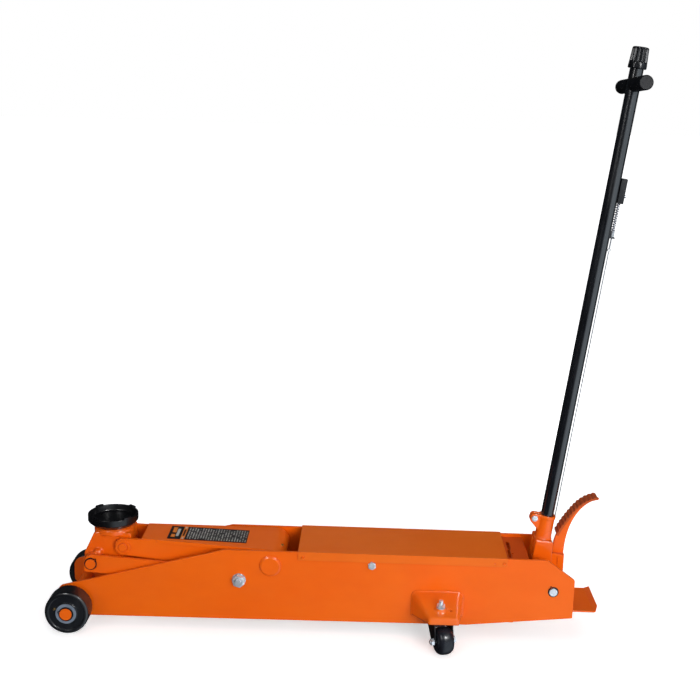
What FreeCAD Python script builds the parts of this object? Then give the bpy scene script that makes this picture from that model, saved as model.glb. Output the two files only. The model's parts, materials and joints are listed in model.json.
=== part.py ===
import FreeCAD, Part
import Sketcher
import math
import os

# A long-chassis hydraulic floor jack with a pump handle and a foot pedal.
# X runs from the saddle end to the handle end, Y across the chassis, Z up.
# Places are measured from the front wheel axle, at floor level, on the middle plane.
# The whole model is then moved so that its origin is the middle of its footprint.

DIMENSIONS = {
    "origin_from_axle": 711.6,
    "plate_outer_y": 96,
    "plate_thickness": 8,
    "cross_plate_gauge": 6,
    "plate_top_z": 233.2,
    "plate_knee_x": 422.4,
    "plate_rear_x": 1380.4,
    "wheel_radius": 60,
    "wheel_inner_y": 103.2,
    "wheel_width": 55,
    "axle_radius": 16.5,
    "running_gap": 0.06,
    "washer_radius": 28,
    "lift_pivot_x": 548,
    "lift_pivot_z": 191.4,
    "lift_shaft_radius": 20,
    "hub_radius": 38,
    "arm_length": 411.8,
    "arm_rest_angle": 3.6,
    "arm_nose_radius": 23,
    "arm_cheek_inner_y": 50,
    "arm_cheek_thickness": 10,
    "rod_offset_x": -85.9,
    "rod_offset_z": -43.9,
    "rod_inner_y": 70,
    "rod_thickness": 10,
    "rod_half_height": 25,
    "rod_bolt_radius": 9,
    "tie_bolt_radius": 7,
    "head_pin_radius": 14,
    "saddle_x": 98,
    "saddle_rim_z": 294,
    "saddle_radius": 69.5,
    "saddle_height": 31,
    "lever_length": 85,
    "lever_rest_angle": 17,
    "lever_pin_radius": 12,
    "ram_z": 111.5,
    "ram_radius": 16,
    "piston_radius": 29.95,
    "cylinder_radius": 40,
    "cylinder_front_x": 760,
    "cylinder_rear_x": 1100,
    "block_length": 90,
    "cover_front_x": 623,
    "cover_rear_x": 1194,
    "cover_sheet": 2.5,
    "cover_flange": 21.5,
    "rear_pivot_x": 1323.1,
    "rear_pivot_z": 143.4,
    "rear_pin_radius": 11,
    "plunger_radius": 10,
    "nose_arm": 35,
    "nose_radius": 10,
    "handle_lean": 7,
    "socket_offset": 37.3,
    "socket_top": 184.6,
    "socket_radius": 22.5,
    "tube_radius": 17.5,
    "tube_top": 1400,
    "twist_rod_radius": 6,
    "bar_height": 1360.4,
    "bar_half_length": 137,
    "bar_tilt": 2.3,
    "grip_radius": 18.5,
    "knob_radius": 24,
    "knob_height": 54,
    "caster_x": 1013,
    "caster_stem_y": 172,
    "caster_trail": 24,
    "caster_wheel_radius": 37.5,
    "caster_wheel_width": 44,
    "caster_axle_radius": 6,
    "caster_turn": 20,
    "king_bolt_radius": 6,
    "pocket_lip_y": 205,
    "nut_height": 12,
    "king_nut_height": 9,
    "tail_half_width": 77,
    "tail_gauge": 4,
    "deck_gauge": 3,
    "circlip_width": 4,
    "circlip_gauge": 2,
}

LEFT = -1
RIGHT = 1
SIDES = ((LEFT, "left"), (RIGHT, "right"))
X_AXIS = FreeCAD.Vector(1, 0, 0)
Y_AXIS = FreeCAD.Vector(0, 1, 0)
Z_AXIS = FreeCAD.Vector(0, 0, 1)


class Size:
    """The driving dimensions as plain attributes, for shapes worked out in code."""


for alias, value in DIMENSIONS.items():
    setattr(Size, alias, value)

doc = FreeCAD.newDocument("FloorJack")
sheet = doc.addObject("Spreadsheet::Sheet", "Sizes")
for row, (alias, value) in enumerate(DIMENSIONS.items(), start=1):
    sheet.set("A%d" % row, alias)
    sheet.set("B%d" % row, str(value))
    sheet.setAlias("B%d" % row, alias)
doc.recompute()

kept = []
ORIGIN_SHIFT = FreeCAD.Placement(FreeCAD.Vector(-Size.origin_from_axle, 0, 0), FreeCAD.Rotation())
HANDLE_FRAME = FreeCAD.Placement(
    FreeCAD.Vector(Size.rear_pivot_x, 0, Size.rear_pivot_z),
    FreeCAD.Rotation(Y_AXIS, Size.handle_lean),
)


# ---- shared building blocks -------------------------------------------------

def point(x, y, z):
    return FreeCAD.Vector(x, y, z)


def keep(name, thing, frame=None):
    """Name a finished sub-part and move it into the model's own frame."""
    place = thing.Placement
    if frame is not None:
        place = frame.multiply(place)
    thing.Placement = ORIGIN_SHIFT.multiply(place)
    thing.Label = name
    kept.append(thing)
    return thing


def bind(thing, **formulas):
    """Tie properties to the sheet; a bare alias is enough for a single dimension."""
    for prop, formula in formulas.items():
        words = []
        for word in str(formula).split():
            words.append("Sizes." + word if word in DIMENSIONS else word)
        thing.setExpression(prop, " ".join(words))
    return thing


def turn_to(axis):
    return FreeCAD.Rotation(Z_AXIS, axis)


def cylinder(radius, length, start, axis=Y_AXIS):
    """A round bar whose radius and length are sheet formulas, from start along axis."""
    bar = doc.addObject("Part::Cylinder", "Bar")
    bind(bar, Radius=radius, Height=length)
    bar.Placement = FreeCAD.Placement(start, turn_to(axis))
    return bar


def cone(radius_1, radius_2, length, start, axis=Y_AXIS):
    taper = doc.addObject("Part::Cone", "Taper")
    bind(taper, Radius1=radius_1, Radius2=radius_2, Height=length)
    taper.Placement = FreeCAD.Placement(start, turn_to(axis))
    return taper


def block(length, width, height, corner):
    """A rectangular block from its lowest corner."""
    solid = doc.addObject("Part::Box", "Block")
    bind(solid, Length=length, Width=width, Height=height)
    solid.Placement = FreeCAD.Placement(corner, FreeCAD.Rotation())
    return solid


def hexagon(across_corners, length, start, axis=Y_AXIS):
    prism = doc.addObject("Part::Prism", "Hexagon")
    prism.Polygon = 6
    bind(prism, Circumradius=across_corners, Height=length)
    prism.Placement = FreeCAD.Placement(start, turn_to(axis))
    return prism


def fuse(*pieces):
    union = doc.addObject("Part::MultiFuse", "Union")
    union.Shapes = list(pieces)
    union.Refine = True
    return union


def cut(base, *tools):
    for tool in tools:
        result = doc.addObject("Part::Cut", "Cut")
        result.Base = base
        result.Tool = tool
        result.Refine = True
        base = result
    return base


def group(*pieces):
    """Identical fasteners stay separate solids in one node."""
    together = doc.addObject("Part::Compound", "Group")
    together.Links = list(pieces)
    return together


def shape(solid):
    feature = doc.addObject("Part::Feature", "Shaped")
    feature.Shape = solid
    return feature


def ring(outer, inner, length, start, axis=Y_AXIS):
    bore_start = start - axis
    return cut(
        cylinder(outer, length, start, axis),
        cylinder(inner, "%s + 2" % length, bore_start, axis),
    )


def place_point(sketch, geometry, position, u, v):
    """Fix one point of a sketch at its distances from the sketch's origin."""
    sketch.addConstraint(Sketcher.Constraint("DistanceX", -1, 1, geometry, position, u))
    sketch.addConstraint(Sketcher.Constraint("DistanceY", -1, 1, geometry, position, v))


def draw_outline(sketch, corners):
    """A closed straight-sided outline; every line starts where the one before it ends."""
    for index, (u, v) in enumerate(corners):
        end = corners[(index + 1) % len(corners)]
        sketch.addGeometry(Part.LineSegment(point(u, v, 0), point(end[0], end[1], 0)))
    for index, (u, v) in enumerate(corners):
        before = (index - 1) % len(corners)
        sketch.addConstraint(Sketcher.Constraint("Coincident", before, 2, index, 1))
        place_point(sketch, index, 1, u, v)


def draw_hole(sketch, u, v, radius_alias):
    """A round hole whose radius follows the sheet."""
    circle = Part.Circle(point(u, v, 0), Z_AXIS, getattr(Size, radius_alias))
    geometry = sketch.addGeometry(circle)
    place_point(sketch, geometry, 3, u, v)
    constraint = sketch.addConstraint(
        Sketcher.Constraint("Radius", geometry, getattr(Size, radius_alias)))
    sketch.setExpression("Constraints[%d]" % constraint, "Sizes." + radius_alias)


def upright_body(name, corners, holes, thickness, y_start):
    """A sheet standing in the XZ plane: a sketch with its holes, padded from y_start towards +Y.

    Corners are (x, z, radius); a fillet rounds each corner whose radius isn't zero.
    """
    body = doc.addObject("PartDesign::Body", name)
    sketch = body.newObject("Sketcher::SketchObject", name + "_outline")
    plane = [feature for feature in body.Origin.OriginFeatures if feature.Role == "XZ_Plane"][0]
    sketch.AttachmentSupport = [(plane, "")]
    sketch.MapMode = "FlatFace"
    draw_outline(sketch, [(x, z) for x, z, radius in corners])
    for x, z, radius_alias in holes:
        draw_hole(sketch, x, z, radius_alias)
    pad = body.newObject("PartDesign::Pad", name + "_pad")
    pad.Profile = sketch
    pad.Reversed = True
    bind(pad, Length=thickness)
    doc.recompute()
    tip = pad
    for radius in sorted({radius for x, z, radius in corners if radius}):
        places = [(x, z) for x, z, corner_radius in corners if corner_radius == radius]
        fillet = body.newObject("PartDesign::Fillet", "%s_round_%g" % (name, radius))
        fillet.Base = (tip, edges_across(tip, places))
        fillet.Radius = radius
        doc.recompute()
        tip = fillet
    body.Tip = tip
    body.Placement.Base = point(0, y_start, 0)
    return body


def edges_across(feature, places):
    """Names of the straight edges along Y that pass through the given (x, z) corners."""
    names = []
    for index, edge in enumerate(feature.Shape.Edges, start=1):
        first = edge.Vertexes[0].Point
        last = edge.Vertexes[-1].Point
        if math.hypot(first.x - last.x, first.z - last.z) > 0.01:
            continue
        if any(math.hypot(first.x - x, first.z - z) < 0.01 for x, z in places):
            names.append("Edge%d" % index)
    return names


def round_corner(before, corner, after, radius):
    """The two tangent points and the middle point of a corner arc."""
    to_before = (before - corner).normalize()
    to_after = (after - corner).normalize()
    half = to_before.getAngle(to_after) / 2
    reach = radius / math.tan(half)
    centre = corner + (to_before + to_after).normalize() * (radius / math.sin(half))
    middle = centre + (corner - centre).normalize() * radius
    return corner + to_before * reach, middle, corner + to_after * reach


def outline_wire(corners):
    """A closed wire through (point, radius) corners, each rounded where its radius isn't zero."""
    stations = []
    count = len(corners)
    for index, (place, radius) in enumerate(corners):
        before = corners[index - 1][0]
        after = corners[(index + 1) % count][0]
        if radius:
            stations.append(round_corner(before, place, after, radius))
        else:
            stations.append((place, None, place))
    edges = []
    for index, (start, middle, end) in enumerate(stations):
        if middle is not None:
            edges.append(Part.Arc(start, middle, end).toShape())
        following = stations[(index + 1) % count][0]
        if (following - end).Length > 0.001:
            edges.append(Part.LineSegment(end, following).toShape())
    return Part.Wire(edges)


def side_slab(corners, y_start, thickness):
    """A slab across Y from (x, z, radius) corners."""
    wire = outline_wire([(point(x, y_start, z), r) for x, z, r in corners])
    return Part.Face(wire).extrude(point(0, thickness, 0))


def top_slab(corners, z_start, thickness):
    """A slab along Z from (x, y, radius) corners."""
    wire = outline_wire([(point(x, y, z_start), r) for x, y, r in corners])
    return Part.Face(wire).extrude(point(0, 0, thickness))


def round_bar(radius, start, end):
    return Part.makeCylinder(radius, (end - start).Length, start, end - start)


def across(radius, x, z, y_from, y_to):
    """A round bar along Y between two offsets."""
    return round_bar(radius, point(x, y_from, z), point(x, y_to, z))


def mirrored(solid):
    return solid.mirror(point(0, 0, 0), Y_AXIS)


# ---- chassis ----------------------------------------------------------------

ROD_PIVOT = point(Size.lift_pivot_x + Size.rod_offset_x, 0, Size.lift_pivot_z + Size.rod_offset_z)
ARM_ANGLE = math.radians(Size.arm_rest_angle)
UPPER_PIN = point(
    Size.lift_pivot_x - Size.arm_length * math.cos(ARM_ANGLE),
    0,
    Size.lift_pivot_z + Size.arm_length * math.sin(ARM_ANGLE),
)
LOWER_PIN = UPPER_PIN + point(Size.rod_offset_x, 0, Size.rod_offset_z)
TIE_BOLT = point(825.7, 0, 203.2)
PLATE_INNER_Y = Size.plate_outer_y - Size.plate_thickness
TAIL_FRONT_X = 1372


def plate_outline():
    nose_x = -38.6
    return [
        (nose_x, 50, 12),
        (nose_x, 110, 22),
        (Size.plate_knee_x, Size.plate_top_z, 30),
        (1303, Size.plate_top_z, 6),
        (Size.plate_rear_x, 177.8, 6),
        (Size.plate_rear_x, 66.5, 2),
        (1090.3, 36.8, 0),
        (52, 28, 0),
        (-16, 27, 8),
    ]


def make_side_plate(side, word):
    """A long plate with the holes that every shaft and bolt of the chassis passes through."""
    start = PLATE_INNER_Y if side == RIGHT else -Size.plate_outer_y
    holes = (
        (0, Size.wheel_radius, "axle_radius"),
        (Size.lift_pivot_x, Size.lift_pivot_z, "lift_shaft_radius"),
        (ROD_PIVOT.x, ROD_PIVOT.z, "rod_bolt_radius"),
        (TIE_BOLT.x, TIE_BOLT.z, "tie_bolt_radius"),
        (Size.rear_pivot_x, Size.rear_pivot_z, "rear_pin_radius"),
    )
    name = "side_plate_" + word
    keep(name, upright_body(name, plate_outline(), holes, "plate_thickness", start))


def make_cross_plates():
    """Four welded plates between the side plates, kept clear of the lifting gear."""
    width = "2 * plate_outer_y - 2 * plate_thickness"
    gauge = "cross_plate_gauge"
    front = block("40", width, gauge, point(40, -PLATE_INNER_Y, 32))
    middle = block("60", width, gauge, point(650, -PLATE_INNER_Y, 40))
    under_block = block("150", width, gauge, point(1070, -PLATE_INNER_Y, 44))
    rear = block(
        gauge, width, "40", point(TAIL_FRONT_X - Size.cross_plate_gauge, -PLATE_INNER_Y, 70))
    keep("cross_plates", group(front, middle, under_block, rear))


def make_front_axle():
    reach = Size.wheel_inner_y + Size.wheel_width + 6.5
    length = "2 * wheel_inner_y + 2 * wheel_width + 13"
    keep("front_axle", cylinder("axle_radius", length, point(0, -reach, Size.wheel_radius)))
    washers = []
    clips = []
    clip_radius = "axle_radius + circlip_width"
    for side in (LEFT, RIGHT):
        outward = Y_AXIS * side
        washer_y = Size.wheel_inner_y + Size.wheel_width + 0.1
        start = point(0, side * washer_y, Size.wheel_radius)
        washers.append(ring("washer_radius", "axle_radius", "3", start, outward))
        clip_start = start + outward * 3.1
        clips.append(ring(clip_radius, "axle_radius", "circlip_gauge", clip_start, outward))
        spacer_start = point(0, side * Size.plate_outer_y, Size.wheel_radius)
        washers.append(ring("washer_radius", "axle_radius", "7", spacer_start, outward))
    keep("axle_washers", group(*washers))
    keep("axle_circlips", group(*clips))


def make_front_wheel(side, word):
    """A cast wheel with a shallow recess in its outer face, a raised hub ring and a rounded tread."""
    inner = Size.wheel_inner_y
    outer = inner + Size.wheel_width
    radius = Size.wheel_radius
    bore = Size.axle_radius + Size.running_gap
    section = [
        (point(bore, inner, 0), 0),
        (point(radius, inner, 0), 7),
        (point(radius, outer, 0), 7),
        (point(50, outer, 0), 1),
        (point(48, outer - 3, 0), 1),
        (point(30, outer - 3, 0), 0.5),
        (point(29.2, outer, 0), 0.3),
        (point(bore, outer, 0), 0),
    ]
    face = Part.Face(outline_wire(section))
    wheel = face.revolve(point(0, 0, 0), Y_AXIS, 360)
    if side == LEFT:
        wheel = mirrored(wheel)
    wheel.translate(point(0, 0, radius))
    wheel = shape(wheel)
    nipple_at = point(-32.4, side * (outer - 3), radius + 10.6)
    hole = cylinder("2.5", "8", nipple_at - Y_AXIS * side * 6, Y_AXIS * side)
    keep("front_wheel_" + word, cut(wheel, hole))
    shank = cylinder("2.5", "12", nipple_at - Y_AXIS * side * 6, Y_AXIS * side)
    collar = hexagon("3.4", "2", nipple_at + Y_AXIS * side * 0.5, Y_AXIS * side)
    keep("wheel_nipple_" + word, fuse(shank, collar))


def make_tie_bolt():
    reach = Size.plate_outer_y
    corner = "tie_bolt_radius + 4.5"
    shank = cylinder("tie_bolt_radius", "2 * plate_outer_y + 20", point(TIE_BOLT.x, -reach - 1, TIE_BOLT.z))
    head = hexagon(corner, "7", point(TIE_BOLT.x, -reach - 7, TIE_BOLT.z))
    nut = cut(
        hexagon(corner, "9", point(TIE_BOLT.x, reach, TIE_BOLT.z)),
        cylinder("tie_bolt_radius", "11", point(TIE_BOLT.x, reach - 1, TIE_BOLT.z)),
    )
    keep("tie_bolt", group(fuse(shank, head), nut))
    tube_start = point(TIE_BOLT.x, -PLATE_INNER_Y, TIE_BOLT.z)
    inner_width = "2 * plate_outer_y - 2 * plate_thickness"
    keep("tie_spacer", ring("tie_bolt_radius + 4", "tie_bolt_radius + 0.2", inner_width, tube_start))


COVER_SCREW_PLACES = ((637.7, 220), (1186, 220))
COVER_SPARE_HOLE = (1160, 221)


def make_top_cover():
    """A folded sheet lid; its flanges hang outside the plates and are notched over the tie bolt.

    Each flange has a spare hole in front of its rear screw.
    """
    sheet_y = Size.plate_outer_y + Size.cover_sheet
    length = "cover_rear_x - cover_front_x"
    top_corner = point(Size.cover_front_x, -sheet_y, Size.plate_top_z)
    pieces = [block(length, "2 * plate_outer_y + 2 * cover_sheet", "cover_sheet", top_corner)]
    for side in (LEFT, RIGHT):
        flange_y = Size.plate_outer_y if side == RIGHT else -sheet_y
        corner = point(Size.cover_front_x, flange_y, Size.plate_top_z - Size.cover_flange)
        pieces.append(block(length, "cover_sheet", "cover_flange", corner))
    notch_start = point(TIE_BOLT.x, -Size.plate_outer_y - 20, TIE_BOLT.z)
    holes = [cylinder("13", "2 * plate_outer_y + 40", notch_start)]
    for x, z in COVER_SCREW_PLACES + (COVER_SPARE_HOLE,):
        start = point(x, -Size.plate_outer_y - 20, z)
        holes.append(cylinder("2.5", "2 * plate_outer_y + 40", start))
    lid = cut(fuse(*pieces), *holes)
    keep("top_cover", lid)


def make_cover_screws():
    """Small dome-headed screws through the cover's flanges into the side plates' faces."""
    screws = []
    for side in (LEFT, RIGHT):
        for x, z in COVER_SCREW_PLACES:
            start = point(x, side * Size.plate_outer_y, z)
            head_start = point(x, side * (Size.plate_outer_y + Size.cover_sheet), z)
            shank = cylinder("2.5", "cover_sheet + 1", start, Y_AXIS * side)
            head = cone("5", "3.4", "2.4", head_start, Y_AXIS * side)
            screws.append(fuse(shank, head))
    keep("cover_screws", group(*screws))


def make_rear_deck():
    width = "2 * plate_outer_y - 2 * plate_thickness"
    deck = block("60", width, "deck_gauge", point(1196, -PLATE_INNER_Y, 222))
    slot_far = block("8", "52", "9", point(1205, -2, 219))
    slot_near = block("8", "56", "9", point(1202, -61, 219))
    hole = cylinder("3", "9", point(1215, -34, 219), Z_AXIS)
    keep("rear_deck", cut(deck, slot_far, slot_near, hole))


def make_tail_tray():
    """A flat step welded behind the chassis; its rear edge is flared, with one corner cut back."""
    floor_z = 76.7
    bend_x = 1443
    flare = 14.5
    rise = 5.8
    gauge = Size.tail_gauge
    half = Size.tail_half_width
    profile = [
        (TAIL_FRONT_X, floor_z, 0),
        (bend_x, floor_z, 4),
        (bend_x + flare, floor_z + rise, 0),
        (bend_x + flare - 1.5, floor_z + rise + gauge, 0),
        (bend_x - 1.5, floor_z + gauge, 3),
        (TAIL_FRONT_X, floor_z + gauge, 0),
    ]
    tray = upright_body("tail_sheet", profile, (), "2 * tail_half_width", -half)
    corner_cut = top_slab([
        (bend_x + 3, -half - 5, 0),
        (bend_x + flare + 1, -half + 34, 4),
        (bend_x + flare + 20, -half + 34, 0),
        (bend_x + flare + 20, -half - 5, 0),
    ], floor_z - 10, 40)
    keep("tail_tray", cut(tray, shape(corner_cut)))


def make_rear_pin():
    reach = Size.plate_outer_y + 6
    start = point(Size.rear_pivot_x, -reach, Size.rear_pivot_z)
    keep("rear_pivot_pin", cylinder("rear_pin_radius", "2 * plate_outer_y + 12", start))
    clips = []
    for side in (LEFT, RIGHT):
        clip_start = point(Size.rear_pivot_x, side * (Size.plate_outer_y + 0.1), Size.rear_pivot_z)
        clip_radius = "rear_pin_radius + circlip_width"
        clips.append(ring(clip_radius, "rear_pin_radius", "circlip_gauge", clip_start, Y_AXIS * side))
    keep("rear_pin_circlips", group(*clips))


def make_lift_shaft():
    start = point(Size.lift_pivot_x, -Size.plate_outer_y, Size.lift_pivot_z)
    keep("lift_shaft", cylinder("lift_shaft_radius", "2 * plate_outer_y", start))
    caps = []
    for side in (LEFT, RIGHT):
        cap_start = point(Size.lift_pivot_x, side * Size.plate_outer_y, Size.lift_pivot_z)
        bevel_start = cap_start + Y_AXIS * side * 4
        caps.append(fuse(
            cylinder("28.5", "4", cap_start, Y_AXIS * side),
            cone("28.5", "24", "3", bevel_start, Y_AXIS * side),
        ))
    keep("lift_shaft_caps", group(*caps))


def make_rod_bolts():
    """Each radius rod turns on a bolt whose head is inside and whose nut is outside the plate."""
    bolts = []
    for side in (LEFT, RIGHT):
        inside = Size.rod_inner_y - 1
        start = point(ROD_PIVOT.x, side * inside, ROD_PIVOT.z)
        shank = cylinder("rod_bolt_radius", "plate_outer_y - rod_inner_y + 24", start, Y_AXIS * side)
        head = cylinder("rod_bolt_radius + 5", "7", start - Y_AXIS * side * 7, Y_AXIS * side)
        bolts.append(fuse(shank, head))
    keep("radius_rod_bolts", group(*bolts))


def make_lock_nuts():
    """Washer and nut on each radius rod bolt and on each caster king bolt."""
    pieces = []
    for side in (LEFT, RIGHT):
        rod_start = point(ROD_PIVOT.x, side * Size.plate_outer_y, ROD_PIVOT.z)
        pieces += nut_and_washer("rod_bolt_radius", 9, "nut_height", rod_start, Y_AXIS * side)
        king_start = point(Size.caster_x, side * Size.caster_stem_y, KING_NUT_Z)
        pieces += nut_and_washer("king_bolt_radius", 5, "king_nut_height", king_start, Z_AXIS)
    keep("lock_nuts", group(*pieces))


def nut_and_washer(bore, wall, height, start, axis):
    """A nut whose corners stand a wall's width outside its bore, on a slightly larger washer."""
    washer = ring("%s + %d" % (bore, wall + 1), bore, "2.5", start, axis)
    nut_start = start + axis * 2.5
    nut = cut(
        hexagon("%s + %d" % (bore, wall), height, nut_start, axis),
        cylinder(bore, height + " + 2", nut_start - axis, axis),
    )
    return [washer, nut]


# ---- casters ----------------------------------------------------------------

KING_NUT_Z = 120.5
POCKET_WALL = 4
POCKET_BACK = (-76, 66)
POCKET_LIP = (-33, 48)


def pocket_section(y, x_range, z_low, z_high, radius):
    """The pocket's outline at one distance from the mid plane."""
    x_front = Size.caster_x + x_range[0]
    x_rear = Size.caster_x + x_range[1]
    corners = [
        (point(x_front, y, z_low), 0),
        (point(x_rear, y, z_low), 0),
        (point(x_rear, y, z_high), radius),
        (point(x_front, y, z_high), radius),
    ]
    return outline_wire(corners)


def shrunk(x_range, amount):
    return x_range[0] + amount, x_range[1] - amount


def make_caster_pocket(side, word):
    """A pressed shell, open below, that tapers from the side plate to its outer lip."""
    near = Size.plate_outer_y
    lip = Size.pocket_lip_y
    wall = POCKET_WALL
    outside = Part.makeLoft([
        pocket_section(near, POCKET_BACK, 62, 134, 18),
        pocket_section(lip, POCKET_LIP, 85.5, 106, 10),
    ], True)
    hollow = Part.makeLoft([
        pocket_section(near - 0.5, shrunk(POCKET_BACK, wall - 0.3), 30, 134.2 - wall, 14.2),
        pocket_section(lip - wall, shrunk(POCKET_LIP, wall - 1.2), 55, 107 - wall, 7),
    ], True)
    shell = outside.cut(hollow)
    stem = point(Size.caster_x, Size.caster_stem_y, KING_NUT_Z)
    nut_flat = Part.makeCylinder(14, 20, stem)
    seat = Part.makeCylinder(15, 9, stem - Z_AXIS * 9)
    bolt_hole = Part.makeCylinder(Size.king_bolt_radius, 60, stem - Z_AXIS * 30)
    sleeve_way = Part.makeCylinder(Size.king_bolt_radius + 5, 30, stem - Z_AXIS * 36)
    drain = Part.makeCylinder(2.5, 60, stem + point(27, 0, -30))
    shell = shell.fuse(seat).cut(nut_flat).cut(bolt_hole).cut(sleeve_way).cut(drain)
    if side == LEFT:
        shell = mirrored(shell)
    keep("caster_pocket_" + word, shape(shell.removeSplitter()))


def make_king_bolts():
    """Each bolt's head carries the fork, its sleeve spaces the fork from the pocket's top."""
    head_height = 3
    head_z = CASTER_CROWN_Z - 0.2 - head_height
    sleeve_z = CASTER_CROWN_Z + CASTER_CROWN_HEIGHT + 0.5
    sleeve_top = KING_NUT_Z - 6
    bolts = []
    for side in (LEFT, RIGHT):
        foot = point(Size.caster_x, side * Size.caster_stem_y, head_z)
        sleeve_foot = point(Size.caster_x, side * Size.caster_stem_y, sleeve_z)
        head = cylinder("king_bolt_radius + 3", str(head_height), foot, Z_AXIS)
        shank = cylinder("king_bolt_radius", "66", foot, Z_AXIS)
        sleeve = cylinder("king_bolt_radius + 5", str(sleeve_top - sleeve_z), sleeve_foot, Z_AXIS)
        bolts.append(fuse(head, shank, sleeve))
    keep("caster_king_bolts", group(*bolts))


def caster_frame(side):
    """A caster's own frame: on the swivel axis at floor level, with the trail along its Y."""
    turn = -Size.caster_turn if side == RIGHT else 180 + Size.caster_turn
    return FreeCAD.Placement(
        point(Size.caster_x, side * Size.caster_stem_y, 0), FreeCAD.Rotation(Z_AXIS, turn))


CASTER_LEG_GAP = 1.5
CASTER_LEG_GAUGE = 4
CASTER_CROWN_Z = 79
CASTER_CROWN_HEIGHT = 5


def caster_fork():
    """A crown plate below the pocket and two legs that reach down to the wheel's axle."""
    axle_y = Size.caster_trail
    axle_z = Size.caster_wheel_radius
    top_z = CASTER_CROWN_Z + CASTER_CROWN_HEIGHT
    crown_half = Size.caster_wheel_width / 2 + CASTER_LEG_GAP + CASTER_LEG_GAUGE
    crown = top_slab([
        (-crown_half, -26, 6),
        (crown_half, -26, 6),
        (crown_half, 24, 0),
        (-crown_half, 24, 0),
    ], CASTER_CROWN_Z, CASTER_CROWN_HEIGHT)
    legs = []
    for end in (-1, 1):
        x_start = end * (Size.caster_wheel_width / 2 + CASTER_LEG_GAP)
        corners = [
            (point(x_start, -20, top_z), 0),
            (point(x_start, 24, top_z), 0),
            (point(x_start, axle_y + 11, axle_z - 11), 10),
            (point(x_start, axle_y - 11, axle_z - 11), 10),
            (point(x_start, -20, top_z - 14), 4),
        ]
        legs.append(Part.Face(outline_wire(corners)).extrude(point(end * CASTER_LEG_GAUGE, 0, 0)))
    fork = crown.multiFuse(legs)
    king_bore = Part.makeCylinder(Size.king_bolt_radius + Size.running_gap, 30, point(0, 0, 70))
    axle_bore = Part.makeCylinder(Size.caster_axle_radius, 80, point(-40, axle_y, axle_z), X_AXIS)
    return fork.cut(king_bore).cut(axle_bore).removeSplitter()


def caster_wheel():
    """A solid wheel with a rounded tread and a hub a little wider than the tread."""
    half = Size.caster_wheel_width / 2
    radius = Size.caster_wheel_radius
    bore = Size.caster_axle_radius + Size.running_gap
    tread = half - 1.5
    section = [
        (point(-half, bore, 0), 0),
        (point(-half, 24, 0), 0),
        (point(-tread, 25.5, 0), 0.5),
        (point(-tread, radius, 0), 10),
        (point(tread, radius, 0), 10),
        (point(tread, 25.5, 0), 0.5),
        (point(half, 24, 0), 0),
        (point(half, bore, 0), 0),
    ]
    wheel = Part.Face(outline_wire(section)).revolve(point(0, 0, 0), X_AXIS, 360)
    wheel.translate(point(0, Size.caster_trail, radius))
    return wheel


def caster_axle():
    """A hexagon bolt through the fork's legs, with its nut."""
    reach = Size.caster_wheel_width / 2 + CASTER_LEG_GAP + CASTER_LEG_GAUGE
    head_start = point(-reach, Size.caster_trail, Size.caster_wheel_radius)
    nut_start = point(reach, Size.caster_trail, Size.caster_wheel_radius)
    radius = "caster_axle_radius"
    corner = "caster_axle_radius + 4"
    shank = cylinder(radius, "caster_wheel_width + 24", head_start - X_AXIS * 2, X_AXIS)
    head = hexagon(corner, "7", head_start, -X_AXIS)
    nut = cut(
        hexagon(corner, "8", nut_start, X_AXIS),
        cylinder(radius, "10", nut_start - X_AXIS, X_AXIS),
    )
    return group(fuse(shank, head), nut)


def make_caster(side, word):
    """A swivel fork, its wheel and its axle; at rest the wheel trails outwards, slightly turned."""
    frame = caster_frame(side)
    keep("caster_fork_" + word, shape(caster_fork()), frame)
    keep("caster_wheel_" + word, shape(caster_wheel()), frame)
    keep("caster_axle_" + word, caster_axle(), frame)


# ---- lifting gear -----------------------------------------------------------

ARM_SLOPE = (Size.arm_nose_radius - Size.hub_radius) / (Size.arm_length + Size.arm_nose_radius)
LID_FRONT_X = 186
LID_FRONT_HALF = 57
LID_REAR_HALF = 84
LID_GAUGE = 3


def arm_point(along, above):
    """A point in the arm's own frame: along from the lift shaft to the head, above the line."""
    cos_a = math.cos(ARM_ANGLE)
    sin_a = math.sin(ARM_ANGLE)
    x = Size.lift_pivot_x - along * cos_a + above * sin_a
    z = Size.lift_pivot_z + along * sin_a + above * cos_a
    return x, z


def arm_edge(along):
    """Height of the cheek's top edge above the arm's centre line."""
    return Size.hub_radius + ARM_SLOPE * along


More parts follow.
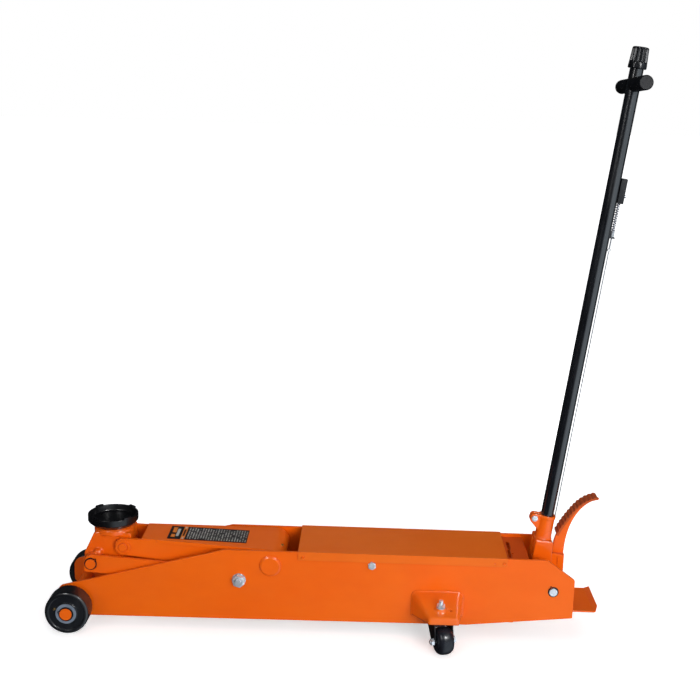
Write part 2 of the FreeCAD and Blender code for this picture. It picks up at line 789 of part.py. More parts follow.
def make_lift_arm():
    """Two welded cheeks, a hub tube on the lift shaft, tie webs and the lever for the ram."""
    length = Size.arm_length
    nose = Size.arm_nose_radius
    outline = [
        (*arm_point(0, Size.hub_radius), 0),
        (*arm_point(length + nose, nose), nose * 0.98),
        (*arm_point(length + nose, -nose), nose * 0.98),
        (*arm_point(0, -Size.hub_radius), 0),
    ]
    inner = Size.arm_cheek_inner_y
    thick = Size.arm_cheek_thickness
    pieces = []
    for start in (-inner - thick, inner):
        pieces.append(side_slab(outline, start, thick))
    pieces.append(across(Size.hub_radius, Size.lift_pivot_x, Size.lift_pivot_z, -84, 84))
    web_near = 330
    web_far = 40
    for above in (arm_edge(web_near) - 5, -arm_edge(web_near) + 2):
        web = [
            (*arm_point(web_near, above), 0),
            (*arm_point(web_near, above + 4), 0),
            (*arm_point(web_far, above + 4), 0),
            (*arm_point(web_far, above), 0),
        ]
        pieces.append(side_slab(web, -inner, 2 * inner))
    pieces += lever_plates()
    for side in (LEFT, RIGHT):
        boss_y = side * (inner + thick)
        pieces.append(across(20, UPPER_PIN.x, UPPER_PIN.z, boss_y, boss_y + side * 3.5))
    arm = pieces[0].multiFuse(pieces[1:])
    shaft_bore = Size.lift_shaft_radius + Size.running_gap
    arm = arm.cut(across(shaft_bore, Size.lift_pivot_x, Size.lift_pivot_z, -90, 90))
    arm = arm.cut(across(Size.head_pin_radius, UPPER_PIN.x, UPPER_PIN.z, -70, 70))
    lever = lever_end()
    arm = arm.cut(across(Size.lever_pin_radius, lever.x, lever.z, -40, 40))
    keep("lift_arm", shape(arm.removeSplitter()))


def lever_end():
    angle = math.radians(Size.lever_rest_angle)
    return point(
        Size.lift_pivot_x + Size.lever_length * math.sin(angle),
        0,
        Size.lift_pivot_z - Size.lever_length * math.cos(angle),
    )


def lever_plates():
    lever = lever_end()
    reach = (lever - point(Size.lift_pivot_x, 0, Size.lift_pivot_z)).normalize()
    normal = point(-reach.z, 0, reach.x)
    hub = point(Size.lift_pivot_x, 0, Size.lift_pivot_z)
    corners = []
    for centre, sign, half, radius in (
        (hub, 1, 30, 0),
        (lever + reach * 20, 1, 20, 17),
        (lever + reach * 20, -1, 20, 17),
        (hub, -1, 30, 0),
    ):
        corner = centre + normal * (sign * half)
        corners.append((corner.x, corner.z, radius))
    plates = []
    for start in (-34, 22):
        plates.append(side_slab(corners, start, 12))
    return plates


def make_lever_pin():
    lever = lever_end()
    keep("lever_pin", cylinder("lever_pin_radius", "72", point(lever.x, -36, lever.z)))


def make_arm_lid():
    """A sheet lid that widens towards the hub, turned down at its edges and round the hub."""
    cos_a = math.cos(ARM_ANGLE)
    front = (Size.lift_pivot_x - LID_FRONT_X) / cos_a
    drop = 6
    hub_skin = Size.hub_radius + LID_GAUGE
    sections = []
    for along, half in ((front, LID_FRONT_HALF), (0, LID_REAR_HALF)):
        edge = arm_edge(along) if along else Size.hub_radius
        x_top, z_top = arm_point(along, edge + LID_GAUGE)
        x_low, z_low = arm_point(along, edge - drop)
        sections.append(Part.makePolygon([
            point(x_low, -half, z_low), point(x_top, -half, z_top),
            point(x_top, half, z_top), point(x_low, half, z_low),
            point(x_low, -half, z_low),
        ]))
    body = Part.makeLoft(sections, True)
    inner = []
    for along, half in ((front + 10, LID_FRONT_HALF - LID_GAUGE - 0.75), (-1, LID_REAR_HALF - LID_GAUGE)):
        edge = arm_edge(along)
        x_top, z_top = arm_point(along, edge)
        x_low, z_low = arm_point(along, edge - 3 * drop)
        inner.append(Part.makePolygon([
            point(x_low, -half, z_low), point(x_top, -half, z_top),
            point(x_top, half, z_top), point(x_low, half, z_low),
            point(x_low, -half, z_low),
        ]))
    body = body.cut(Part.makeLoft(inner, True))
    wrap = across(hub_skin, Size.lift_pivot_x, Size.lift_pivot_z, -LID_REAR_HALF, LID_REAR_HALF)
    wrap = wrap.cut(across(Size.hub_radius, Size.lift_pivot_x, Size.lift_pivot_z, -90, 90))
    keep_quadrant = Part.makeBox(
        60, 200, 60, point(Size.lift_pivot_x, -100, Size.lift_pivot_z + 12))
    wrap = wrap.common(keep_quadrant)
    lid = body.fuse(wrap)
    lid = lid.cut(across(Size.hub_radius, Size.lift_pivot_x, Size.lift_pivot_z, -90, 90))
    cheek_zone = []
    for start in (-Size.arm_cheek_inner_y - Size.arm_cheek_thickness, Size.arm_cheek_inner_y):
        corners = [
            (*arm_point(-5, arm_edge(-5)), 0),
            (*arm_point(front + 5, arm_edge(front + 5)), 0),
            (*arm_point(front + 5, 0), 0),
            (*arm_point(-5, 0), 0),
        ]
        cheek_zone.append(side_slab(corners, start, Size.arm_cheek_thickness))
    lid = lid.cut(cheek_zone)
    nipple = arm_nipple_axis()
    lid = lid.cut(Part.makeCylinder(2.5, 12, nipple[0], nipple[1]))
    solids = sorted(lid.Solids, key=lambda solid: solid.Volume)
    keep("arm_lid", shape(solids[-1]))


def arm_nipple_axis():
    """Start point and direction of the grease nipple on the wrapped rear of the lid."""
    angle = math.radians(50)
    outward = point(math.cos(angle), 0, math.sin(angle))
    start = point(Size.lift_pivot_x, -25, Size.lift_pivot_z) + outward * Size.hub_radius
    return start, outward


def make_arm_nipple():
    start, outward = arm_nipple_axis()
    shank = Part.makeCylinder(2.5, 8, start, outward)
    collar = Part.makeCylinder(4, 2, start + outward * (LID_GAUGE + 0.2), outward)
    keep("arm_grease_nipple", shape(shank.fuse(collar)))


def make_label_plate():
    """A thin data plate that lies on the lid."""
    front_x, rear_x = 254, 474
    corners = []
    for x, y in ((front_x, -46), (front_x, 46), (rear_x, 46), (rear_x, -46)):
        along = (Size.lift_pivot_x - x) / math.cos(ARM_ANGLE)
        px, pz = arm_point(along, arm_edge(along) + LID_GAUGE)
        corners.append((point(px, y, pz), 2))
    plate = Part.Face(outline_wire(corners)).extrude(point(0, 0, 0.6))
    keep("label_plate", shape(plate))


def make_radius_rod(side, word):
    """A flat bar; its front hole has clearance, because that pivot closes the linkage."""
    start = Size.rod_inner_y if side == RIGHT else -Size.rod_inner_y - Size.rod_thickness
    half = Size.rod_half_height
    front = LOWER_PIN
    rear = ROD_PIVOT
    reach = (front - rear).normalize()
    lift = point(-reach.z, 0, reach.x)
    corners = []
    for place, radius in (
        (rear - reach * 24 - lift * (half - 2), 22),
        (front + reach * 18 - lift * half, 20),
        (front + reach * 18 + lift * half, 8),
        (rear - reach * 24 + lift * (half - 2), 22),
    ):
        corners.append((place.x, place.z, radius))
    bar = side_slab(corners, start, Size.rod_thickness)
    bar = bar.cut(across(Size.rod_bolt_radius + Size.running_gap, rear.x, rear.z, start - 1, start + 12))
    open_gap = 0.5
    bar = bar.cut(across(Size.head_pin_radius + open_gap, front.x, front.z, start - 1, start + 12))
    keep("radius_rod_" + word, shape(bar))


def make_lift_head():
    """The cast head: a round collar on a tapered body, with a cross tube for the lower pin."""
    saddle_x = Size.saddle_x
    collar_top = Size.saddle_rim_z - Size.saddle_height
    collar = Part.makeCylinder(56, 15, point(saddle_x + 4, 0, collar_top - 19))
    rim = Part.makeCylinder(52, 4, point(saddle_x + 4, 0, collar_top - 4))
    outline = [
        (LOWER_PIN.x - 22, LOWER_PIN.z - 18, 14),
        (LOWER_PIN.x - 26, LOWER_PIN.z + 16, 8),
        (saddle_x - 44, collar_top - 11, 6),
        (saddle_x + 58, collar_top - 11, 6),
        (UPPER_PIN.x + 22, UPPER_PIN.z + 4, 10),
        (UPPER_PIN.x + 20, UPPER_PIN.z - 22, 14),
        (LOWER_PIN.x + 34, LOWER_PIN.z - 24, 20),
    ]
    body = side_slab(outline, -47, 94)
    head = body.multiFuse([collar, rim])
    for side in (LEFT, RIGHT):
        head = head.fuse(across(23, LOWER_PIN.x, LOWER_PIN.z, side * 40, side * 69))
        lump = Part.makeSphere(13, point(LOWER_PIN.x + 14, side * 50, LOWER_PIN.z + 20))
        head = head.fuse(lump)
    bores = [
        across(Size.head_pin_radius, LOWER_PIN.x, LOWER_PIN.z, -80, 80),
        across(Size.head_pin_radius + Size.running_gap, UPPER_PIN.x, UPPER_PIN.z, -60, 60),
        Part.makeCylinder(20 + Size.running_gap, 40, point(saddle_x, 0, collar_top - 30)),
    ]
    for bore in bores:
        head = head.cut(bore)
    keep("lift_head", shape(head.removeSplitter()))


def make_head_pins():
    start = point(LOWER_PIN.x, -Size.rod_inner_y - 16, LOWER_PIN.z)
    keep("head_lower_pin", cylinder("head_pin_radius", "2 * rod_inner_y + 32", start))
    upper_start = point(UPPER_PIN.x, -62, UPPER_PIN.z)
    button_start = point(UPPER_PIN.x, -67, UPPER_PIN.z)
    upper_pin = fuse(
        cylinder("head_pin_radius", "124", upper_start),
        cylinder("head_pin_radius - 3", "134", button_start),
    )
    keep("head_upper_pin", upper_pin)
    clips = []
    for side in (LEFT, RIGHT):
        clip_start = point(LOWER_PIN.x, side * (Size.rod_inner_y + Size.rod_thickness + 0.5), LOWER_PIN.z)
        clip_radius = "head_pin_radius + circlip_width"
        clips.append(ring(clip_radius, "head_pin_radius", "circlip_gauge", clip_start, Y_AXIS * side))
    keep("head_circlips", group(*clips))


def make_saddle():
    """A round cup with four raised lugs on its rim and a stem that turns in the head."""
    radius = Size.saddle_radius
    rim_z = Size.saddle_rim_z
    base_z = rim_z - Size.saddle_height
    section = [
        (point(0, 0, base_z + 0.2), 0),
        (point(radius - 14, 0, base_z + 0.2), 6),
        (point(radius, 0, base_z + 13), 5),
        (point(radius, 0, rim_z), 1.5),
        (point(radius - 6, 0, rim_z), 1.5),
        (point(radius - 10, 0, base_z + 14), 5),
        (point(0, 0, base_z + 14), 0),
    ]
    cup = Part.Face(outline_wire(section)).revolve(point(0, 0, 0), Z_AXIS, 360)
    lugs = []
    for turn in (48, 138, 228, 318):
        lug = Part.makeCylinder(radius, 4, point(0, 0, rim_z - 0.01), Z_AXIS, 20)
        lug = lug.cut(Part.makeCylinder(radius - 8, 6, point(0, 0, rim_z - 1)))
        lug.rotate(point(0, 0, 0), Z_AXIS, turn - 10)
        lugs.append(lug)
    stem = Part.makeCylinder(20, 24, point(0, 0, base_z - 23))
    saddle = cup.multiFuse(lugs + [stem])
    saddle.translate(point(Size.saddle_x, 0, 0))
    keep("saddle", shape(saddle.removeSplitter()))


# ---- hydraulics -------------------------------------------------------------

def make_ram():
    """Piston and rod; the rod leaves the cylinder towards the lever on the lift arm."""
    yoke_rear = 640
    piston_x = 1000
    rod = cylinder("ram_radius", str(piston_x - yoke_rear), point(yoke_rear, 0, Size.ram_z), X_AXIS)
    piston = cylinder("piston_radius", "34", point(piston_x - 1, 0, Size.ram_z), X_AXIS)
    keep("ram", fuse(rod, piston))
    lever = lever_end()
    bar = Part.makeBox(
        yoke_rear - lever.x + 22, 36, 56, point(lever.x - 22, -18, Size.ram_z - 28))
    slot_half = Size.lever_pin_radius + 1.2
    slot_rise = 7.5
    slot = side_slab([
        (lever.x - slot_half, Size.ram_z - slot_half - slot_rise, 6),
        (lever.x + slot_half, Size.ram_z - slot_half - slot_rise, 6),
        (lever.x + slot_half, Size.ram_z + slot_half + slot_rise, 6),
        (lever.x - slot_half, Size.ram_z + slot_half + slot_rise, 6),
    ], -19, 38)
    keep("ram_yoke", shape(bar.cut(slot)))


def make_cylinder_tube():
    front = Size.cylinder_front_x
    length = Size.cylinder_rear_x - front
    tube = Part.makeCylinder(Size.cylinder_radius, length, point(front, 0, Size.ram_z), X_AXIS)
    gland = 30
    bore = Part.makeCylinder(30, length - gland, point(front + gland, 0, Size.ram_z), X_AXIS)
    neck = Part.makeCylinder(Size.ram_radius + 0.05, gland + 2, point(front - 1, 0, Size.ram_z), X_AXIS)
    keep("cylinder_tube", shape(tube.cut(bore).cut(neck)))


PLUNGER_FRONT_X = 1142
NOSE_X = Size.rear_pivot_x + 12
PLUNGER_Z = Size.rear_pivot_z - Size.nose_arm
SPINDLE_RADIUS = 7
SPINDLE_Z = 165


def make_power_unit():
    """The pump and valve block, bored for the pump plunger and for the release spindle."""
    x = Size.cylinder_rear_x
    body = Part.makeBox(Size.block_length, 2 * PLATE_INNER_Y, 130, point(x, -PLATE_INNER_Y, 70))
    barrel = Part.makeCylinder(20, 60, point(x + Size.block_length - 1, 0, PLUNGER_Z), X_AXIS)
    body = body.fuse(barrel)
    plunger_bore = Part.makeCylinder(
        Size.plunger_radius + 0.05, 200, point(PLUNGER_FRONT_X - 34, 0, PLUNGER_Z), X_AXIS)
    spindle_bore = Part.makeCylinder(
        SPINDLE_RADIUS + 0.05, 80, point(x + 30, 0, SPINDLE_Z), X_AXIS)
    body = body.cut(plunger_bore).cut(spindle_bore)
    keep("power_unit_block", shape(body))


def make_release_spindle():
    """The release valve's screw, with the front half of its universal joint behind the block."""
    x = Size.cylinder_rear_x + 32
    screw = Part.makeCylinder(SPINDLE_RADIUS, 112, point(x, 0, SPINDLE_Z), X_AXIS)
    yoke = Part.makeCylinder(13, 12, point(x + 94, 0, SPINDLE_Z), X_AXIS)
    ears = []
    for start in (-12, 6):
        ears.append(Part.makeBox(16, 6, 14, point(x + 106, start, SPINDLE_Z - 7)))
    screw = screw.common(Part.makeCylinder(SPINDLE_RADIUS, 106, point(x, 0, SPINDLE_Z), X_AXIS))
    keep("release_spindle", shape(screw.multiFuse([yoke] + ears).removeSplitter()))


def make_pump_plunger():
    gap = 0.5
    length = NOSE_X - Size.nose_radius - gap - PLUNGER_FRONT_X
    start = point(PLUNGER_FRONT_X, 0, PLUNGER_Z)
    keep("pump_plunger", cylinder("plunger_radius", str(length), start, X_AXIS))


# ---- handle, in its own leaning frame with the rear pin at its origin -------

TUBE_X = -Size.socket_offset
SOCKET_FOOT = 112
FORK_HALF = 37
CLAMP_PLACE = (-72, 172.8)
LATCH_X = TUBE_X + 22.6
LATCH_FOOT = 174
LATCH_FOOT_RADIUS = 1.4


def make_handle_fork():
    """The cast socket: cheeks on the rear pin, a round socket with a split clamp, a pump nose.

    The notch in its rim takes the foot of the handle lock's rod.
    """
    block_front = TUBE_X - 24
    outline = [
        (block_front, 14, 6),
        (block_front, 118, 4),
        (TUBE_X + 24, 118, 4),
        (-6, 50, 8),
        (22, 18, 6),
        (22, -10, 12),
        (-16, -22, 10),
    ]
    body = side_slab(outline, -FORK_HALF, 2 * FORK_HALF)
    inside = [
        (block_front - 5, -30, 0),
        (block_front - 5, 8, 0),
        (block_front + 8, 8, 0),
        (block_front + 8, 100, 0),
        (40, 100, 0),
        (40, -40, 0),
        (-20, -60, 0),
    ]
    body = body.cut(side_slab(inside, -FORK_HALF + 10, 2 * FORK_HALF - 20))
    pieces = [
        Part.makeCylinder(Size.socket_radius, Size.socket_top - 116, point(TUBE_X, 0, 116)),
        Part.makeCylinder(Size.socket_radius + 1.7, 9, point(TUBE_X, 0, Size.socket_top - 9)),
        Part.makeCylinder(Size.socket_radius + 1.2, 4, point(TUBE_X, 0, 117)),
        across(24, 0, 0, -FORK_HALF, -FORK_HALF + 10),
        across(24, 0, 0, FORK_HALF - 10, FORK_HALF),
        across(20, 0, 0, -FORK_HALF, FORK_HALF),
        clamp_ears(),
        pump_nose(),
    ]
    fork = body.multiFuse(pieces)
    fork = fork.cut(Part.makeCylinder(Size.tube_radius + 0.02, 120, point(TUBE_X, 0, SOCKET_FOOT)))
    fork = fork.cut(Part.makeCylinder(11, 60, point(TUBE_X, 0, 70)))
    fork = fork.cut(across(Size.rear_pin_radius + Size.running_gap, 0, 0, -50, 50))
    split = Part.makeBox(60, 3, 60, point(TUBE_X - 72, -1.5, Size.socket_top - 36))
    fork = fork.cut(split.cut(Part.makeCylinder(Size.tube_radius, 200, point(TUBE_X, 0, 100))))
    ear_x, ear_z = CLAMP_PLACE
    fork = fork.cut(across(5, ear_x, ear_z, -30, 30))
    rod_notch = Part.makeCylinder(LATCH_FOOT_RADIUS + 0.6, 30, point(LATCH_X, 0, LATCH_FOOT - 1))
    fork = fork.cut(rod_notch)
    solids = sorted(fork.removeSplitter().Solids, key=lambda solid: solid.Volume)
    keep("handle_fork", shape(solids[-1]), HANDLE_FRAME)


def clamp_ears():
    ear_x, ear_z = CLAMP_PLACE
    outline = [
        (TUBE_X - 10, ear_z + 11, 0),
        (ear_x - 9, ear_z + 12, 10),
        (ear_x - 13, ear_z - 8, 10),
        (TUBE_X - 19, ear_z - 34, 4),
        (TUBE_X - 10, ear_z - 36, 0),
    ]
    return side_slab(outline, -13, 26)


def pump_nose():
    """The rounded toe below the pin that pushes the pump plunger."""
    lean = FreeCAD.Rotation(Y_AXIS, -Size.handle_lean)
    toe = lean.multVec(point(NOSE_X - Size.rear_pivot_x, 0, -Size.nose_arm))
    web = [
        (-2, 0, 0),
        (toe.x - 5, toe.z, 0),
        (toe.x + 7, toe.z, 0),
        (14, 0, 0),
    ]
    return across(Size.nose_radius, toe.x, toe.z, -16, 16).fuse(side_slab(web, -16, 32))


def make_clamp_bolt():
    ear_x, ear_z = CLAMP_PLACE
    shank = cylinder("5", "40", point(ear_x, -20, ear_z))
    head = hexagon("9", "6", point(ear_x, -19, ear_z))
    nut = cut(hexagon("9", "6", point(ear_x, 13, ear_z)), cylinder("5", "8", point(ear_x, 12, ear_z)))
    keep("clamp_bolt", group(fuse(shank, head), nut), HANDLE_FRAME)


def make_handle_tube():
    wall_bore = "tube_radius - 3"
    tube = ring("tube_radius", wall_bore, "tube_top - 112", point(TUBE_X, 0, SOCKET_FOOT), Z_AXIS)
    bar_hole = cylinder("12.5", "60", point(0, -30, 0))
    bar_hole.Placement = bar_frame().multiply(bar_hole.Placement)
    keep("handle_tube", fuse(cut(tube, bar_hole), shape(latch_tab())), HANDLE_FRAME)


def bar_frame():
    """The cross bar's own frame: centred in the tube, along Y, tilted by a few degrees."""
    return FreeCAD.Placement(
        point(TUBE_X, 0, Size.bar_height), FreeCAD.Rotation(X_AXIS, -Size.bar_tilt))


def make_cross_bar():
    """A hollow bar through the tube, with a grip sleeve on each half."""
    bar = ring("12.5", "8.5", "2 * bar_half_length - 8", point(0, -Size.bar_half_length + 4, 0))
    bar.Placement = bar_frame().multiply(bar.Placement)
    rod_way = cylinder("twist_rod_radius + 1", "60", point(TUBE_X, 0, Size.bar_height - 30), Z_AXIS)
    keep("t_bar", cut(bar, rod_way), HANDLE_FRAME)
    grips = []
    for side in (LEFT, RIGHT):
        start = point(0, side * 22, 0)
        sleeve = ring("grip_radius", "12.5", "bar_half_length - 26", start, Y_AXIS * side)
        cap_start = point(0, side * (Size.bar_half_length - 4), 0)
        end_cap = cone("grip_radius", "grip_radius - 2.5", "4", cap_start, Y_AXIS * side)
        grip = fuse(sleeve, end_cap)
        grip.Placement = bar_frame().multiply(grip.Placement)
        grips.append(grip)
    keep("bar_grips", group(*grips), HANDLE_FRAME)


def make_release_knob():
    """A fluted knob with a flared skirt; it turns the rod inside the handle tube."""
    base = Size.tube_top + 1
    radius = Size.knob_radius
    height = Size.knob_height
    section = [
        (point(0, 0, 0), 0),
        (point(radius, 0, 0), 2),
        (point(radius - 1.2, 0, 9), 4),
        (point(radius - 2.2, 0, 16), 6),
        (point(radius - 3, 0, height - 10), 8),
        (point(radius - 4, 0, height), 4),
        (point(0, 0, height), 0),
    ]
    knob = Part.Face(outline_wire(section)).revolve(point(0, 0, 0), Z_AXIS, 360)
    flutes = []
    flute_count = 12
    for index in range(flute_count):
        angle = 2 * math.pi * index / flute_count
        centre = point(math.cos(angle), math.sin(angle), 0) * (radius + 1)
        flutes.append(Part.makeCylinder(3.4, height, centre + Z_AXIS * 8))
    for flute in flutes:
        knob = knob.cut(flute)
    knob = knob.cut(Part.makeCylinder(Size.twist_rod_radius, 21, point(0, 0, -1)))
    knob.translate(point(TUBE_X, 0, base))
    keep("release_knob", shape(knob), HANDLE_FRAME)


def make_twist_rod():
    foot = 76
    length = "tube_top + 21 - %d" % foot
    keep("twist_rod", cylinder("twist_rod_radius", length, point(TUBE_X, 0, foot), Z_AXIS), HANDLE_FRAME)


LATCH_LOW = 1059
LATCH_HIGH = 1124
LATCH_TRAVEL = 15
LATCH_ROD_RADIUS = 2
COLLAR_FOOT = 970.2
COLLAR_TOP = 986


def make_latch_housing():
    """A channel on the back of the tube, slotted for the button of the handle lock."""
    near = TUBE_X + Size.tube_radius
    wall = 2
    depth = 15.5
    width = 22
    height = LATCH_HIGH - LATCH_LOW
    case = Part.makeBox(depth, width, height, point(near - 0.5, -width / 2, LATCH_LOW))
    hollow = Part.makeBox(
        depth - wall, width - 2 * wall, height - 2 * wall,
        point(near - 0.5, wall - width / 2, LATCH_LOW + wall))
    slot = Part.makeBox(10, 5.4, 8 + LATCH_TRAVEL, point(near + 10, -2.7, LATCH_LOW + 16))
    rod_hole = Part.makeCylinder(LATCH_ROD_RADIUS + 0.3, 8, point(LATCH_X, 0, LATCH_LOW - 2))
    case = case.cut(hollow).cut(slot).cut(rod_hole)
    case = case.cut(Part.makeCylinder(Size.tube_radius, 100, point(TUBE_X, 0, LATCH_LOW - 10)))
    keep("latch_housing", shape(case), HANDLE_FRAME)


def make_latch_rod():
    """The lock's pull rod, with its button, the collar that the spring rests on and an eye."""
    eye_z = 935
    rod_top = LATCH_LOW + 26
    eye_radius = 3.4
    eye = Part.makeTorus(eye_radius, 1.3, point(LATCH_X, 0, eye_z), Y_AXIS)
    upper_foot = eye_z + eye_radius
    upper = Part.makeCylinder(LATCH_ROD_RADIUS, rod_top - upper_foot, point(LATCH_X, 0, upper_foot))
    lower_length = eye_z - eye_radius - LATCH_FOOT
    lower = Part.makeCylinder(LATCH_FOOT_RADIUS, lower_length, point(LATCH_X, 0, LATCH_FOOT))
    collar = Part.makeCylinder(4.8, COLLAR_TOP - COLLAR_FOOT, point(LATCH_X, 0, COLLAR_FOOT))
    button = Part.makeCylinder(2.5, 14, point(LATCH_X, 0, LATCH_LOW + 20), X_AXIS)
    cap = Part.makeCylinder(4, 5, point(LATCH_X + 10.6, 0, LATCH_LOW + 20), X_AXIS)
    keep("latch_rod", shape(upper.multiFuse([eye, lower, collar, button, cap])), HANDLE_FRAME)


def latch_tab():
    """The small tab, welded to the tube, that guides the latch rod."""
    gauge = 3.5
    foot = COLLAR_FOOT - gauge - 0.2
    tab = Part.makeBox(12.6, 14, gauge, point(TUBE_X + Size.tube_radius - 0.6, -7, foot))
    return tab.cut(Part.makeCylinder(LATCH_ROD_RADIUS + 0.5, 40, point(LATCH_X, 0, COLLAR_FOOT - 20)))


def make_latch_spring():
    """A coil spring round the latch rod, between the rod's collar and the housing."""
    foot = COLLAR_TOP + 0.3
    height = LATCH_LOW - 0.3 - foot
    pitch = 4.4
    wire_radius = 0.8
    coil_radius = 4
    helix = Part.makeHelix(pitch, height - 2 * wire_radius, coil_radius)
    start = point(coil_radius, 0, 0)
    section = Part.Wire([Part.makeCircle(wire_radius, start, Y_AXIS)])
    coil = Part.Wire(helix).makePipeShell([section], True, True)
    coil.translate(point(LATCH_X, 0, foot + wire_radius))
    keep("latch_spring", shape(coil), HANDLE_FRAME)


# ---- foot pedal -------------------------------------------------------------

def make_foot_pedal():
    """A curved lever on the rear pin: two bracket cheeks, a web and a toothed tread band.

    A shallow slot in the left cheek takes the end of the return spring.
    """
    pivot = point(Size.rear_pivot_x, 0, Size.rear_pivot_z)
    bracket = [
        (pivot.x - 14, pivot.z - 14, 12),
        (pivot.x + 16, pivot.z - 14, 12),
        (pivot.x + 35, pivot.z + 30, 6),
        (pivot.x + 35, pivot.z + 78, 4),
        (pivot.x + 2, pivot.z + 84, 4),
        (pivot.x + 2, pivot.z + 34, 6),
    ]
    cheek_outer = FORK_HALF - 11
    cheek_gauge = 6
    pieces = []
    for start in (-cheek_outer, cheek_outer - cheek_gauge):
        pieces.append(side_slab(bracket, start, cheek_gauge))
    bridge = Part.makeBox(
        31, 2 * cheek_outer, 12, point(pivot.x + 4, -cheek_outer, pivot.z + 66))
    pieces += [bridge, pedal_web(), pedal_band()]
    pedal = pieces[0].multiFuse(pieces[1:])
    pedal = pedal.cut(across(22.5, pivot.x, pivot.z, -19.5, 19.5))
    pedal = pedal.cut(across(20.3, pivot.x, pivot.z, -60, 60))
    spring_slot = side_slab([
        (pivot.x + 15, pivot.z + 44, 1.7),
        (pivot.x + 18.5, pivot.z + 44, 1.7),
        (pivot.x + 18.5, pivot.z + 74, 1.7),
        (pivot.x + 15, pivot.z + 74, 1.7),
    ], -cheek_outer - 1, cheek_gauge - 2)
    pedal = pedal.cut(spring_slot)
    solids = sorted(pedal.removeSplitter().Solids, key=lambda solid: solid.Volume)
    keep("foot_pedal", shape(solids[-1]))


PEDAL_BACK = (
    (1359.6, 212),
    (1368.6, 289),
    (1384.8, 330),
    (1416.6, 368),
    (1449, 382),
)
PEDAL_FRONT = (
    (1330, 220),
    (1338.3, 276),
    (1369.5, 331.5),
    (1404, 371),
    (1442, 387),
)


def smooth_curve(places, y):
    """A spline through (x, z) places in the plane at y."""
    curve = Part.BSplineCurve()
    curve.interpolate([point(x, y, z) for x, z in places])
    return curve


def pedal_web():
    """The side web between the lever's front and back curves."""
    half = 6
    edges = [smooth_curve(PEDAL_FRONT, -half).toShape(), smooth_curve(PEDAL_BACK, -half).toShape()]
    for index in (0, -1):
        front_end = point(PEDAL_FRONT[index][0], -half, PEDAL_FRONT[index][1])
        back_end = point(PEDAL_BACK[index][0], -half, PEDAL_BACK[index][1])
        edges.append(Part.LineSegment(front_end, back_end).toShape())
    wire = Part.Wire(Part.__sortEdges__(edges))
    return Part.Face(wire).extrude(point(0, 2 * half, 0))


def pedal_band():
    """A tread strip along the front curve, with a row of teeth."""
    curve = smooth_curve(PEDAL_FRONT, 0)
    first = 0.27
    tooth_count = 13
    half_width = 22
    thickness = 6
    tooth_depth = 3
    low, high = curve.FirstParameter, curve.LastParameter
    outer = []
    inner = []
    for index in range(2 * tooth_count + 1):
        share = first + (1 - first) * index / (2 * tooth_count)
        at = low + (high - low) * share
        place = curve.value(at)
        along = curve.tangent(at)[0]
        normal = point(-along.z, 0, along.x)
        if normal.z < 0:
            normal = normal * -1
        height = thickness if index % 2 else thickness - tooth_depth
        outer.append(place + normal * height)
        inner.append(place - normal * 1.5)
    corners = [point(p.x, -half_width, p.z) for p in outer]
    corners += [point(p.x, -half_width, p.z) for p in reversed(inner)]
    wire = Part.makePolygon(corners + [corners[0]])
    return Part.Face(wire).extrude(point(0, 2 * half_width, 0))


# ---- build ------------------------------------------------------------------

def build():
    make_cross_plates()
    make_front_axle()
    make_tie_bolt()
    make_top_cover()
    make_cover_screws()
    make_rear_deck()
    make_tail_tray()
    make_rear_pin()
    make_lift_shaft()
    make_rod_bolts()
    make_king_bolts()
    make_lock_nuts()
    for side, word in SIDES:
        make_side_plate(side, word)
        make_front_wheel(side, word)
        make_caster_pocket(side, word)
        make_caster(side, word)
        make_radius_rod(side, word)
    make_lift_arm()
    make_lever_pin()
    make_arm_lid()
    make_arm_nipple()
    make_label_plate()
    make_lift_head()
    make_head_pins()
    make_saddle()
    make_ram()
    make_cylinder_tube()
    make_power_unit()
    make_release_spindle()
    make_pump_plunger()
    make_handle_fork()
    make_clamp_bolt()
    make_handle_tube()
    make_cross_bar()
    make_release_knob()
    make_twist_rod()
    make_latch_housing()
    make_latch_rod()
    make_latch_spring()
    make_foot_pedal()


def check_document():
    for thing in doc.Objects:
        if "Invalid" in thing.State or "Error" in thing.State:
            raise RuntimeError("failed object: " + thing.Label)
    for thing in kept:
        if thing.Shape.isNull() or not thing.Shape.isValid():
            raise RuntimeError("bad shape: " + thing.Label)
        if not thing.Shape.Solids:
            raise RuntimeError("no solid: " + thing.Label)


build()
doc.recompute()
check_document()
os.makedirs("parts", exist_ok=True)
box = FreeCAD.BoundBox()
for thing in kept:
    thing.Shape.exportStep(os.path.join("parts", thing.Label + ".step"))
    box.add(thing.Shape.BoundBox)
print("sub-parts:", len(kept))
print("box:", box)
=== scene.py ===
import json
import math
import random

import bmesh
import bpy
from mathutils import Matrix, Vector


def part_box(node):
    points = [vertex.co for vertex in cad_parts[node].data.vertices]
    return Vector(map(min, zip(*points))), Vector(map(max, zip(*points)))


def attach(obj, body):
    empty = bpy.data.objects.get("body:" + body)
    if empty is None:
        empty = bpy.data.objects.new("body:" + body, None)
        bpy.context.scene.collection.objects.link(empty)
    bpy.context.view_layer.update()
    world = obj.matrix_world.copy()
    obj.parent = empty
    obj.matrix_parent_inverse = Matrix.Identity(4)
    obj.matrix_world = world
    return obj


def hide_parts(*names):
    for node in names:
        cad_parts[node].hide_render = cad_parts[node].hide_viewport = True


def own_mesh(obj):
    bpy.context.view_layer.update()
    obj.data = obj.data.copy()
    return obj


# The looks of a long-chassis hydraulic floor jack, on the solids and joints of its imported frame.
# Lengths are in metres, x runs from the saddle to the handle, and the photo is taken from -y.

